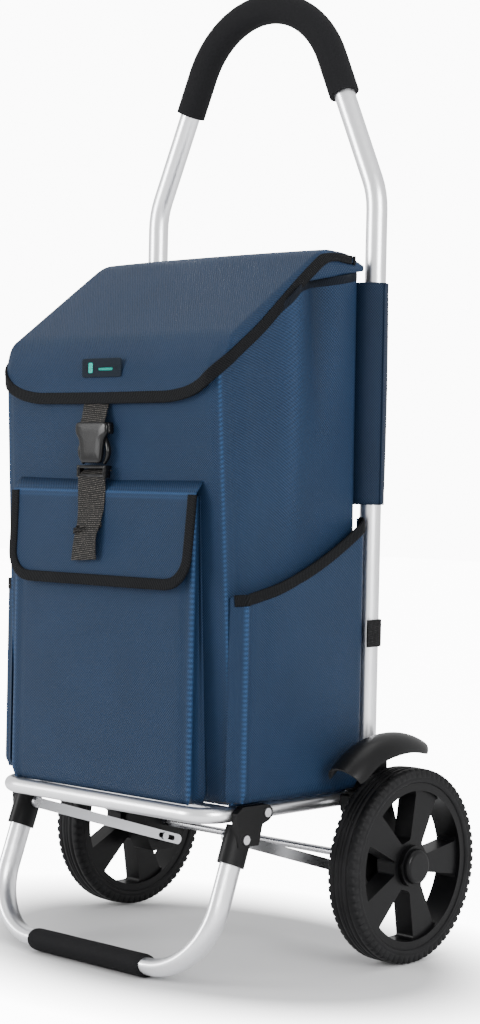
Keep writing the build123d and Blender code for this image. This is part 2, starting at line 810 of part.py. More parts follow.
def lid_face(shrink):
    """The lid seen from the front: its lower corners rounded; shrink pulls the outline in."""
    half = lid_half - shrink
    low = lid_front_low + shrink
    high = lid_ridge_z + 40
    outline = Pos(0, (low + high) / 2) * Rectangle(2 * half, high - low)
    outline = fillet(outline.vertices().group_by(Axis.Y)[0], lid_corner_r - shrink)
    return extrude(Plane.XZ * outline, 400)


def lid():
    """Fabric lid: flat rear, ridge, long slope, front skirt and narrow side skirts."""
    outside = prism(lid_profile(0)[:-1] + lid_skirt_line(), -lid_half, lid_half)
    inside = prism(lid_profile(lid_thick)[:-1] + [
        (-lid_front + lid_thick, lid_front_low - 20),
        (-bag_back - lid_thick, lid_front_low - 20),
    ], -lid_inner_half, lid_inner_half)
    return (outside & lid_plan(0) & lid_face(0)) - (inside & lid_plan(lid_thick))


def lid_binding():
    """Tape along the lid's front and side edges, outside the fabric."""
    grown = lid_half + binding_thick
    front = block(-grown, grown, -lid_front - binding_thick, -lid_front, lid_front_low, lid_shoulder_z)
    front = (front & lid_face(-binding_thick)) - lid_face(binding_width)
    low = lid_skirt_line()[:4]
    high = [
        (-lid_ridge_y + 6, lid_ridge_z - 14),
        (-bag_back - 14, lid_ridge_z - 12),
        (-bag_back - 16, lid_ridge_z - 5),
        (-lid_ridge_y - 1, lid_ridge_z - 3),
        (-rim_knee_y - 6, rim_knee_z + binding_width + 2),
        (-lid_front, lid_shoulder_z - 14),
    ]
    side = prism(low + high, lid_half, grown) & lid_face(-binding_thick)
    return front + side + mirrored(side)


def lid_patch():
    """Plain woven patch on the lid's front."""
    return block(-25, 25, -lid_front - 1.0, -lid_front, lid_shoulder_z - 26, lid_shoulder_z - 7)


# ---- pocket flap, strap and buckle ----
def flap_root():
    """Fixed strip from the bag's front over the pocket's mouth."""
    body_y = front_face_y(flap_hinge_z + 4)
    points = [
        (-body_y, flap_hinge_z + 6),
        (-flap_back_y + 0.2, flap_hinge_z + 1.0),
        (-flap_back_y + 0.2, flap_hinge_z - 0.8),
        (-body_y, flap_hinge_z + 4),
    ]
    return prism(points, -flap_half, flap_half) - bag_block(0, bag_bottom, bag_height_z)


def flap():
    """Hanging panel of the pocket's flap, its lower corners rounded."""
    flat = Pos(0, (flap_hinge_z - 0.4 + flap_low) / 2) * Rectangle(2 * flap_half, flap_hinge_z - 0.4 - flap_low)
    flat = fillet(flat.vertices().group_by(Axis.Y)[0], flap_corner_r)
    plane = Plane(origin=(0, -flap_back_y, 0), x_dir=(1, 0, 0), z_dir=(0, -1, 0))
    return extrude(plane * flat, flap_thick)


def flap_binding():
    """Tape round the flap's sides and bottom: a thin frame outside the panel's edge."""
    height = flap_hinge_z - 0.4 - flap_low
    flat = Pos(0, flap_low + height / 2) * Rectangle(2 * flap_half, height)
    flat = fillet(flat.vertices().group_by(Axis.Y)[0], flap_corner_r)
    grown_height = height + binding_thick
    grown = Pos(0, flap_low - binding_thick + grown_height / 2) * Rectangle(
        2 * (flap_half + binding_thick), grown_height)
    grown = fillet(grown.vertices().group_by(Axis.Y)[0], flap_corner_r + binding_thick)
    plane = Plane(origin=(0, -flap_back_y, 0), x_dir=(1, 0, 0), z_dir=(0, -1, 0))
    return extrude(plane * (grown - flat), flap_thick)


def strap_upper():
    """Webbing sewn inside the lid's front, down into the buckle's socket."""
    back = -lid_front + lid_thick
    upper = block(-strap_half, strap_half, back, back + strap_thick, socket_top_z - 1, lid_front_low + 14)
    return upper - buckle_socket()


def buckle_socket():
    """Upper half of the buckle: bar at the top and a front plate, open at the back and below."""
    front = -buckle_y - buckle_half_thick
    back = -buckle_y + buckle_half_thick
    top = block(-socket_half, socket_half, front, back, socket_step_z, socket_top_z)
    top = fillet(top.edges().filter_by(Axis.Y), 5.0)
    plate = block(-socket_body_half, socket_body_half, front, front + socket_plate, socket_low_z, socket_step_z)
    return top + plate


def buckle_plug():
    """Lower half of the buckle: slotted base bar and a centre guide."""
    front = -buckle_y - buckle_half_thick + 0.5
    back = -buckle_y + buckle_half_thick
    base = block(-plug_half, plug_half, front, back, plug_low_z, plug_top_z)
    base = fillet(base.edges().filter_by(Axis.Y), 3.0)
    base -= block(-strap_half - 0.3, strap_half + 0.3, -buckle_y - 1.5, -buckle_y + 1.5, plug_low_z - 1,
                  plug_low_z + 9)
    middle = front + socket_plate + 0.2
    guide = block(-4, 4, middle, middle + 3, plug_top_z, socket_step_z - 4)
    return base + guide


def buckle_arm():
    """Right-hand release arm, standing on the plug's base and bulging outwards."""
    root_z = plug_top_z + 0.3
    points = [
        (arm_root_x, root_z), (arm_root_x + arm_thick, root_z), (arm_tip_x + arm_thick, root_z + 11),
        (arm_tip_x + 1.0, root_z + arm_length), (arm_tip_x - arm_thick + 1.0, root_z + arm_length),
        (arm_tip_x - 0.5, root_z + 12),
    ]
    back_plane = -buckle_y - buckle_half_thick + socket_plate + 0.7
    plane = Plane(origin=(0, back_plane + 4.5, 0), x_dir=(1, 0, 0), z_dir=(0, -1, 0))
    return extrude(plane * Polygon(*points, align=None), 4.5)


def strap_anchor():
    """Webbing from inside the bag's front to the plug's base; its end is trimmed at the bag's face."""
    seam_z = plug_low_z + 5
    back = -buckle_y + buckle_half_thick
    return block(-strap_half, strap_half, back, -bag_front_low, seam_z, seam_z + strap_thick)


def strap_tail_upper():
    """Tail from the plug's slot forwards and down to the flap's fold."""
    slot_z = plug_low_z + 4
    points = [
        (-buckle_y + 1.3, slot_z + 4.5),
        (-buckle_y - 1.3, slot_z + 4.5),
        (-buckle_y - 1.3, plug_low_z - 1.0),
        (-tail_back_y, flap_hinge_z + 8),
        (-tail_front_y, flap_hinge_z + 8),
        (-tail_front_y, flap_hinge_z + 5),
        (-tail_back_y, flap_hinge_z + 5),
        (-tail_back_y + 1.0, flap_hinge_z + 6.0),
        (-buckle_y + 1.3, plug_low_z - 2.2),
    ]
    return prism(points, -strap_half, strap_half)


def strap_tail():
    """Lower stretch of the tail, lying on the flap."""
    return block(-strap_half, strap_half, -tail_front_y, -tail_back_y, tail_low_z, flap_hinge_z - 4)


# ---- write every node ----
os.makedirs("parts", exist_ok=True)

write("handle_tube", handle_tube())
write("handle_grip", handle_grip())
write("axle", axle())
write("axle_push_nuts", *pair(push_nut()))
write("axle_spacers", *pair(spacer_washer()))
foot_rivet = rivet(bracket_inner, bracket_outer, upright_y, foot_rivet_z, heads=(True, False))
write("foot_rivets", *pair(foot_rivet))
hinge_rivet = rivet(platform_x - platform_r, bracket_outer - 6, -hinge_y, platform_z, heads=(False, True))
write("hinge_rivets", *pair(hinge_rivet))
write("slot_pins", *pair(slot_pin()))
screws = guard_screws()
write("mudguard_screws", *screws, *[mirrored(screw) for screw in screws])
write("platform_tube", platform_tube())
write("platform_rails", *platform_rails())
write("leg_tube", leg_tube())
write("leg_foot", leg_foot())
write("leg_pivot_rivets", *pair(leg_pivot_rivet()))
write("link_rivets", *pair(link_rivet()))

right_hand = {
    "foot_bracket": foot_bracket,
    "mudguard": mudguard,
    "tyre": tyre,
    "rim": rim,
    "hub_bush": hub_bush,
    "hub_cap": hub_cap,
    "leg_bracket": leg_bracket,
    "link": link_bar,
    "side_pocket": side_pocket,
    "side_binding": side_binding,
    "webbing_loop": webbing_loop,
}
for name, make in right_hand.items():
    right = make()
    write(f"{name}_right", right)
    write(f"{name}_left", mirrored(right))

to_strap = Pos(strap_x, 0, 0)
right_arm = buckle_arm()
write("buckle_arm_right", to_strap * right_arm)
write("buckle_arm_left", to_strap * mirrored(right_arm))
write("strap_upper", to_strap * strap_upper())
write("strap_anchor", to_strap * strap_anchor() - bag_block(0, bag_bottom, bag_height_z))
write("strap_tail_upper", to_strap * strap_tail_upper())
write("strap_tail", to_strap * strap_tail())
write("buckle_socket", to_strap * buckle_socket())
write("buckle_plug", to_strap * buckle_plug())

write("bag_body", bag_body())
write("bag_board", bag_board())
write("rim_binding", rim_binding())
write("front_pocket", front_pocket())
write("sleeve", sleeve())
write("lid", lid())
write("lid_binding", lid_binding())
write("lid_patch", lid_patch())
write("flap_root", flap_root())
write("pocket_flap", flap())
write("flap_binding", flap_binding())
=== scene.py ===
"""Folding shopping trolley: cloth, wheels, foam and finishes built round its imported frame."""

import bmesh
import bpy
import numpy as np
from mathutils import Matrix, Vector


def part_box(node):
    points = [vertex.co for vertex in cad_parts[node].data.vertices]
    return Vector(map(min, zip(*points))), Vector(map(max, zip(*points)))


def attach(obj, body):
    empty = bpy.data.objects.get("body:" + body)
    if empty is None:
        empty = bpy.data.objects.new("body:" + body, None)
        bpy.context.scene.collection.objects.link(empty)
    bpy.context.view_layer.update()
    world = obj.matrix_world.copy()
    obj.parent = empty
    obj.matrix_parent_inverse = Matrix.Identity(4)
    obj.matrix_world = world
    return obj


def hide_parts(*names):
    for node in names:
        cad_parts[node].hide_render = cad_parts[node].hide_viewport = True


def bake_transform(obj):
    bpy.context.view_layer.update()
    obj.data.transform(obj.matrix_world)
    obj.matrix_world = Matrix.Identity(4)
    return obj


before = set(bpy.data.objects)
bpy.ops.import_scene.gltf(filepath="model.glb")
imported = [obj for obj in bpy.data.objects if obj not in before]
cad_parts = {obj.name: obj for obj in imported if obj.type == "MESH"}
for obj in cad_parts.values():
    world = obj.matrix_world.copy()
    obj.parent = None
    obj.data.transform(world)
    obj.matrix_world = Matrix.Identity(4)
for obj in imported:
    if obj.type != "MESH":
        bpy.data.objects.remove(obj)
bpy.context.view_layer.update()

# ---- places read from the frame, in metres ----
boxes = {name: np.array(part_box(name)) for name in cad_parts}
axle_y = boxes["axle"][:, 1].mean()
bag_low, bag_high = boxes["bag_body"]
bag_floor = bag_low[2]
bag_rear = bag_high[1]
bag_top = bag_high[2]
bag_half_low = bag_high[0]
pocket_low, pocket_high = boxes["front_pocket"]
side_low, side_high = boxes["side_pocket_right"]
sleeve_low, sleeve_high = boxes["sleeve"]
lid_low, lid_high = boxes["lid"]
flap_low, flap_high = boxes["pocket_flap"]
foot_low, foot_high = boxes["leg_foot"]
strap_low, strap_high = boxes["strap_tail"]
strap_x = (strap_low[0] + strap_high[0]) / 2
cloth_wall = 0.0014
light_world, far_glow = 1.15, 11.0     # the world as light, and as the camera sees it


def ahead(distance):
    """The y of a plane a distance in front of the axle."""
    return axle_y - distance


# ---- small shape functions ----
def smooth(low, high, x):
    """0 below low, 1 above high, and an S-shaped cubic between."""
    t = np.clip((x - low) / (high - low), 0, 1)
    return t * t * (3 - 2 * t)


def hump(x, middle, width):
    """A bell curve of height 1."""
    return np.exp(-(((x - middle) / width) ** 2))


def unit(vectors):
    return vectors / np.linalg.norm(vectors, axis=-1, keepdims=True)


def lengths(points):
    """Distance travelled along a line of points."""
    steps = np.linalg.norm(np.diff(points, axis=0), axis=1)
    return np.concatenate([[0], np.cumsum(steps)])


def even(points, count):
    """The same line with evenly spaced points."""
    along = lengths(points)
    places = np.linspace(0, along[-1], count)
    return np.stack([np.interp(places, along, points[:, k]) for k in range(points.shape[1])], axis=1)


def rounded(corners, radii, count):
    """A line through corners, each inner corner cut back by its radius and bridged by a parabola."""
    corners = np.array(corners, float)
    pieces = [corners[:1]]
    t = np.linspace(0, 1, 9)[:, None]
    for before, corner, after, radius in zip(corners[:-2], corners[1:-1], corners[2:], radii):
        start = corner + unit(before - corner) * radius
        end = corner + unit(after - corner) * radius
        pieces.append((1 - t) ** 2 * start + 2 * t * (1 - t) * corner + t ** 2 * end)
    pieces.append(corners[-1:])
    return even(np.concatenate(pieces), count)


def bar_section(thick, wide, count=16, square=0.45):
    """A closed rounded bar, thick by wide: a circle's sine and cosine raised to a power under 1."""
    turn = np.linspace(0, 2 * np.pi, count, endpoint=False)
    first = np.sign(np.cos(turn)) * np.abs(np.cos(turn)) ** square * thick / 2
    second = np.sign(np.sin(turn)) * np.abs(np.sin(turn)) ** square * wide / 2
    return np.stack([first, second], axis=1)


# ---- meshes ----
def surface(name, grid, body, finish, nodes=(), around=False, uv=None, ridge=None, wall=0.0, inside=None,
            across=False):
    """A smooth mesh over grid[i, j]; around joins the last i to the first, across the last j to the first."""
    rows, cols = grid.shape[:2]
    index = np.arange(rows * cols).reshape(rows, cols)
    i = np.arange(rows if around else rows - 1)
    j = np.arange(cols if across else cols - 1)
    i, j = [part.ravel() for part in np.meshgrid(i, j, indexing="ij")]
    corners = [(i, j), (i + 1, j), (i + 1, j + 1), (i, j + 1)]
    faces = np.stack([index[a % rows, b % cols] for a, b in corners], axis=1)
    if uv is None:
        ring = np.concatenate([grid, grid[:1]]) if around else grid
        steps = np.linalg.norm(np.diff(ring, axis=0), axis=2).mean(axis=1)
        run = np.concatenate([[0], np.cumsum(steps)])
        row = np.concatenate([grid, grid[:, :1]], axis=1) if across else grid
        steps = np.linalg.norm(np.diff(row, axis=1), axis=2).mean(axis=0)
        rise = np.concatenate([[0], np.cumsum(steps)])
        uv = np.stack(np.meshgrid(run, rise, indexing="ij"), axis=2)
    mesh = bpy.data.meshes.new(name)
    mesh.from_pydata(grid.reshape(-1, 3).tolist(), [], faces.tolist())
    loops = np.stack([uv[a, b] for a, b in corners], axis=1)
    mesh.uv_layers.new(name="UVMap").data.foreach_set("uv", loops.ravel())
    value = np.zeros(rows * cols) if ridge is None else np.broadcast_to(ridge, (rows, cols)).ravel()
    mesh.attributes.new("ridge", "FLOAT", "POINT").data.foreach_set("value", value.astype(np.float32))
    work = bmesh.new()
    work.from_mesh(mesh)
    bmesh.ops.remove_doubles(work, verts=work.verts, dist=1e-6)
    work.to_mesh(mesh)
    work.free()
    mesh.update()
    mesh.polygons.foreach_set("use_smooth", np.ones(len(mesh.polygons), bool))
    middle = grid.reshape(-1, 3).mean(axis=0) if inside is None else np.array(inside)
    facing = sum(p.area * float(np.dot(p.normal, np.array(p.center) - middle)) for p in mesh.polygons)
    if facing < 0:
        mesh.flip_normals()
    made = bpy.data.objects.new(name, mesh)
    bpy.context.collection.objects.link(made)
    mesh.materials.append(finish)
    if wall:
        skin = made.modifiers.new("wall", "SOLIDIFY")
        skin.thickness = wall
        skin.offset = -1
    if body:
        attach(made, body)
    if nodes:
        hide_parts(*nodes)
    return made


def carried(name, path, first, second, section, body, finish, nodes=(), closed=False, swell=None):
    """A section carried along a path: path + a * first + b * second, its ends drawn in to the middle."""
    swell = np.ones(len(path)) if swell is None else swell
    first = np.broadcast_to(first, path.shape)
    second = np.broadcast_to(second, path.shape)
    offset = (section[None, :, :1] * first[:, None] + section[None, :, 1:] * second[:, None])
    grid = path[:, None] + offset * swell[:, None, None]
    if not closed:
        ends = [np.broadcast_to(ring.mean(axis=0), ring.shape)[None] for ring in (grid[0], grid[-1])]
        grid = np.concatenate([ends[0], grid, ends[1]])
    made = surface(name, grid, body, finish, nodes, around=closed, across=True)
    work = bmesh.new()
    work.from_mesh(made.data)
    bmesh.ops.recalc_face_normals(work, faces=work.faces)
    work.to_mesh(made.data)
    work.free()
    return made


# ---- materials ----
class Value:
    """A node's output that sums can be written with."""

    def __init__(self, finish, socket):
        self.finish = finish
        self.socket = socket

    def maths(self, operation, *others, swap=False):
        values = [self, *others]
        if swap:
            values.reverse()
        return self.finish.node("Math", {"operation": operation}, dict(enumerate(values)))

    def __add__(self, other):
        return self.maths("ADD", other)

    __radd__ = __add__

    def __mul__(self, other):
        return self.maths("MULTIPLY", other)

    __rmul__ = __mul__

    def __sub__(self, other):
        return self.maths("SUBTRACT", other)

    def __rsub__(self, other):
        return self.maths("SUBTRACT", other, swap=True)

    def sine(self):
        return self.maths("SINE")

    def power(self, other):
        return self.maths("POWER", other)

    def above(self, low, high):
        """0 at low rising to 1 at high."""
        return self.finish.node("MapRange", {"clamp": True}, {0: self, 1: low, 2: high, 3: 0.0, 4: 1.0})


class Finish:
    """A material with one Principled shader."""

    def __init__(self, name, roughness=0.5, metallic=0.0, **constants):
        self.material = bpy.data.materials.new(name)
        self.material.use_nodes = True
        self.tree = self.material.node_tree
        self.shader = self.tree.nodes["Principled BSDF"]
        self.shader.inputs["Roughness"].default_value = roughness
        self.shader.inputs["Metallic"].default_value = metallic
        for socket, value in constants.items():
            self.shader.inputs[socket.replace("_", " ")].default_value = value

    def node(self, kind, settings=None, inputs=None, output=0):
        """Any node: its settings first, then its sockets' values or links; gives one output."""
        made = self.tree.nodes.new("ShaderNode" + kind)
        for key, value in (settings or {}).items():
            setattr(made, key, value)
        for key, value in (inputs or {}).items():
            if isinstance(value, Value):
                self.tree.links.new(value.socket, made.inputs[key])
            else:
                made.inputs[key].default_value = value
        return Value(self, made.outputs[output])

    def feed(self, socket, value):
        self.tree.links.new(value.socket, self.shader.inputs[socket])

    def axes(self, source="UV"):
        """The coordinate's three parts, in metres."""
        whole = self.node("TexCoord", output=source)
        parts = [self.node("SeparateXYZ", inputs={0: whole}, output=k) for k in range(3)]
        return whole, parts

    def noise(self, where, scale, detail=2.0):
        return self.node("TexNoise", inputs={"Vector": where, "Scale": scale, "Detail": detail})

    def blend(self, amount, low, high):
        """A colour between two, by amount; each is a colour or another mix."""
        settings = {"data_type": "RGBA", "blend_type": "MIX"}
        return self.node("Mix", settings, {0: amount, 6: low, 7: high}, output=2)

    def bump(self, height, distance, strength=1.0):
        values = {"Height": height, "Distance": distance, "Strength": strength}
        self.feed("Normal", self.node("Bump", inputs=values))


def shade(colour, factor):
    return (*[channel * factor for channel in colour], 1.0)


def cloth(name, colour, pitch=0.0026, roughness=0.42):
    """Coated weave with a lattice of small dimples; the ridge attribute paints highlights on seams and folds and
    shade in creases.
    """
    made = Finish(name, roughness, Specular_IOR_Level=0.14)
    whole, (u, v, w) = made.axes()
    turn = 2 * np.pi / pitch
    lattice = (u * turn).sine() * (v * (turn * 0.86)).sine()
    lattice = lattice * 0.5 + 0.5
    # The ridge attribute carries painted light: above 0 it paints a highlight, below 0 a shade.
    painted_light = made.node("Attribute", {"attribute_name": "ridge"}, output=2)
    drift = made.noise(whole, 14.0)
    grain = made.noise(whole, 900.0)
    base = made.blend(lattice.above(0.1, 0.9), shade(colour, 0.42), shade(colour, 1.45))
    base = made.blend(drift.above(0.35, 0.7) * 0.25, base, shade(colour, 1.35))
    highlight_dashes = (v * (turn * 0.5)).sine() * 0.5 + 0.5
    # Painted highlight in dashes where the ridge attribute is above 0, painted shade where it is below 0.
    base = made.blend(painted_light.maths("MAXIMUM", 0.0) * (highlight_dashes.above(0.3, 0.8) * 0.6 + 0.2), base, shade(colour, 3.6))
    base = made.blend(painted_light.maths("MULTIPLY", -1.0).maths("MAXIMUM", 0.0), base, shade(colour, 0.35))
    made.feed("Base Color", base)
    made.feed("Roughness", 0.50 - lattice * 0.12 + grain * 0.06)
    made.bump(lattice + grain * 0.15, 0.0007, 0.8)
    return made.material


def ribbed(name, colour, light, pitch, slant=0.35, thread=0.0, roughness=0.62):
    """Woven tape: ribs across its length, with light threads showing between them."""
    made = Finish(name, roughness, Specular_IOR_Level=0.10)
    whole, (u, v, w) = made.axes()
    turn = 2 * np.pi / pitch
    rib = ((u + v * slant) * turn).sine() * 0.5 + 0.5
    cross = ((v - u * slant) * (turn * 1.15)).sine() * 0.5 + 0.5
    spots = made.noise(whole, 700.0, 1.0)
    base = made.blend(rib, shade(colour, 0.5), shade(colour, 1.5))
    if thread:
        dash = (rib * cross).above(0.62, 0.9) * spots.above(0.42, 0.62)
        base = made.blend(dash * thread, base, shade(light, 1.0))
    made.feed("Base Color", base)
    made.feed("Roughness", 0.72 - rib * 0.18)
    made.bump(rib + cross * 0.5 + spots * 0.2, 0.0005, 0.8)
    return made.material


def satin_metal(name, colour, roughness, along=(60.0, 60.0, 4.0)):
    """Drawn metal: faint streaks stretched along the tube."""
    made = Finish(name, roughness, 1.0, Specular_IOR_Level=0.5)
    where = made.node("TexCoord", output="Object")
    stretched = made.node("Mapping", inputs={0: where, "Scale": along})
    streaks = made.noise(stretched, 12.0, 3.0)
    cloud = made.noise(where, 9.0)
    base = made.blend(streaks.above(0.3, 0.7) * 0.5 + cloud * 0.2, shade(colour, 0.94), shade(colour, 1.03))
    made.feed("Base Color", base)
    made.feed("Roughness", streaks * 0.10 + cloud * 0.08 + (roughness - 0.09))
    made.bump(streaks, 0.00008, 0.25)
    return made.material


def moulded(name, colour, roughness, coat=0.0, grain_size=1500.0, grain_depth=0.00008):
    """Moulded plastic: fine spark texture and slow changes of gloss."""
    made = Finish(name, roughness, Specular_IOR_Level=0.16, Coat_Weight=coat, Coat_Roughness=0.12, Coat_IOR=1.25)
    where = made.node("TexCoord", output="Object")
    grain = made.noise(where, grain_size, 1.0)
    cloud = made.noise(where, 22.0)
    base = made.blend(cloud.above(0.3, 0.7), shade(colour, 0.85), shade(colour, 1.2))
    made.feed("Base Color", base)
    made.feed("Roughness", cloud * 0.14 + grain * 0.06 + (roughness - 0.10))
    made.bump(grain, grain_depth, 0.5)
    return made.material


def foamed(name, colour):
    """Closed-cell foam: matt, with tiny pits and a soft bloom."""
    made = Finish(name, 0.85, Specular_IOR_Level=0.12)
    where = made.node("TexCoord", output="Object")
    pits = made.node("TexVoronoi", inputs={"Vector": where, "Scale": 900.0})
    cloud = made.noise(where, 60.0, 3.0)
    base = made.blend(pits.above(0.1, 0.6) * 0.6 + cloud * 0.3, shade(colour, 0.7), shade(colour, 1.5))
    made.feed("Base Color", base)
    made.feed("Roughness", cloud * 0.12 + 0.78)
    made.bump(pits + cloud * 0.4, 0.0003, 0.6)
    return made.material


def rubber_tread(name, colour):
    """Tyre rubber: matt with a patchy dusty cast."""
    made = Finish(name, 0.6, Specular_IOR_Level=0.12)
    where = made.node("TexCoord", output="Object")
    grain = made.noise(where, 500.0, 3.0)
    dust = made.noise(where, 40.0, 2.0)
    base = made.blend(dust.above(0.4, 0.75) * 0.6, shade(colour, 0.85), shade(colour, 1.9))
    made.feed("Base Color", base)
    made.feed("Roughness", dust * 0.2 + grain * 0.08 + 0.38)
    made.bump(grain, 0.0002, 0.5)
    return made.material


blue = (0.0068, 0.0200, 0.0480)
black = (0.0035, 0.0035, 0.0038)
bag_cloth = cloth("coated_weave_blue", blue)
sleeve_cloth = cloth("coated_weave_shadow", tuple(0.62 * channel for channel in blue))
edging = ribbed("ribbed_edging", (0.0022, 0.0026, 0.0034), (0.2, 0.2, 0.2), 0.0024)
strapping = ribbed("strap_webbing", (0.016, 0.0155, 0.015), (0.30, 0.27, 0.24), 0.0021, 0.12, 0.85)
loop_webbing = ribbed("loop_webbing", (0.005, 0.005, 0.0055), (0.10, 0.10, 0.10), 0.0021, 0.1, 0.6)
rim_tape = ribbed("rim_tape", (0.003, 0.005, 0.009), (0.1, 0.1, 0.1), 0.0020)
badge_cloth = ribbed("badge_weave", (0.008, 0.013, 0.020), (0.1, 0.2, 0.2), 0.0012, 0.0)
badge_bar = ribbed("badge_bar", (0.01, 0.42, 0.34), (0.3, 0.7, 0.6), 0.0012, 0.0)
tube_metal = satin_metal("satin_aluminium", (0.955, 0.96, 0.985), 0.32)
steel = satin_metal("plated_steel", (0.62, 0.62, 0.64), 0.28, (30.0, 30.0, 30.0))
bar_metal = satin_metal("plated_bar", (0.66, 0.665, 0.69), 0.30, (20.0, 8.0, 60.0))
grip_foam = foamed("grip_foam", (0.0060, 0.0060, 0.0068))
foot_foam = foamed("foot_foam", (0.0065, 0.0065, 0.0072))
bracket_plastic = moulded("bracket_plastic", black, 0.42)
guard_plastic = moulded("guard_plastic", (0.0040, 0.0040, 0.0043), 0.36, 0.10)
wheel_plastic = moulded("wheel_plastic", (0.0030, 0.0030, 0.0034), 0.38)
cap_plastic = moulded("cap_plastic", (0.0042, 0.0042, 0.0046), 0.34)
buckle_plastic = moulded("buckle_plastic", (0.0040, 0.0040, 0.0043), 0.24, 0.5)
board_plastic = moulded("board_plastic", (0.03, 0.03, 0.032), 0.55)
tread = rubber_tread("tyre_rubber", (0.0075, 0.0075, 0.0080))

cad_finishes = {
    "handle_tube": tube_metal, "platform_tube": tube_metal, "platform_rails": tube_metal, "leg_tube": tube_metal,
    "handle_grip": grip_foam, "foot_bracket_left": bracket_plastic, "foot_bracket_right": bracket_plastic,
    "leg_bracket_left": bracket_plastic, "leg_bracket_right": bracket_plastic, "foot_rivets": steel,
    "hinge_rivets": steel, "slot_pins": steel, "leg_pivot_rivets": steel, "link_rivets": steel,
    "mudguard_screws": steel, "axle": steel, "axle_push_nuts": steel, "axle_spacers": bracket_plastic,
    "link_left": bar_metal, "link_right": bar_metal, "mudguard_left": guard_plastic,
    "mudguard_right": guard_plastic, "hub_bush_left": bracket_plastic, "hub_bush_right": bracket_plastic,
    "hub_cap_left": cap_plastic, "hub_cap_right": cap_plastic, "rim_left": wheel_plastic,
    "rim_right": wheel_plastic, "bag_board": board_plastic,
}
for node, finish in cad_finishes.items():
    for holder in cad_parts[node].material_slots:
        holder.material = finish


# ---- bag ----
def bag_share(z):
    return (z - bag_floor) / (bag_top - bag_floor)


def bag_half(z):
    """Half the bag's width, narrowing upwards."""
    return bag_half_low - 0.006 * bag_share(z)


def bag_front(z):
    """How far the bag's front stands ahead of the axle."""
    return 0.215 + 0.032 * bag_share(z)


def rim_height(y):
    """The bag's rim: nearly level behind, then falling to the front."""
    places = [ahead(0.2405), ahead(0.131), bag_rear]
    return np.interp(y, places, [bag_top - 0.108, bag_top - 0.020, bag_top])


def outline(straight=36, bend=10):
    """Round a rectangle from the rear's middle: where each point sits between the corners, and its way out."""
    t = np.linspace(-1, 1, straight, endpoint=False)
    a = np.radians(np.linspace(0, 90, bend, endpoint=False))
    one = np.ones(straight)
    sides = [(t * -1, one, 90), (-one, -t, 180), (t, -one, 270), (one, t, 0)]
    spots = []
    for across, deep, angle in sides:
        facing = np.radians(angle) * one
        spots.append(np.stack([across, deep, np.cos(facing), np.sin(facing)], axis=1))
        corner = np.radians(angle) + a
        last = {90: (-1, 1), 180: (-1, -1), 270: (1, -1), 0: (1, 1)}[angle]
        spots.append(np.stack([np.full(bend, last[0]), np.full(bend, last[1]),
                               np.cos(corner), np.sin(corner)], axis=1))
    return np.concatenate(spots)


def soft_side(y, z):
    """Folds of a bag's side: a belly, an upright crease under the lid and slack behind the front seam."""
    front = ahead(bag_front(z))
    share = np.clip((y - front) / (bag_rear - front), 0, 1)
    belly = 0.0035 * np.sin(np.pi * share) * np.sin(np.pi * np.clip(bag_share(z), 0, 1)) ** 0.6
    upper = smooth(0.50, 0.70, z)
    crease = -0.0085 * hump(y, ahead(0.100), 0.016) * upper
    swell = 0.0070 * hump(y, ahead(0.142), 0.022) * smooth(0.34, 0.62, z)
    second = 0.0050 * hump(y, ahead(0.062), 0.020) * upper
    slack = -0.0030 * hump(y, front + 0.022, 0.011)
    return belly + crease + swell + second + slack


def seam_ridge(distance, height=0.0022):
    """A pinched seam: a narrow ridge with a shallow valley either side."""
    return height * hump(distance, 0, 0.0022) - 0.4 * height * hump(np.abs(distance), 0.009, 0.004)


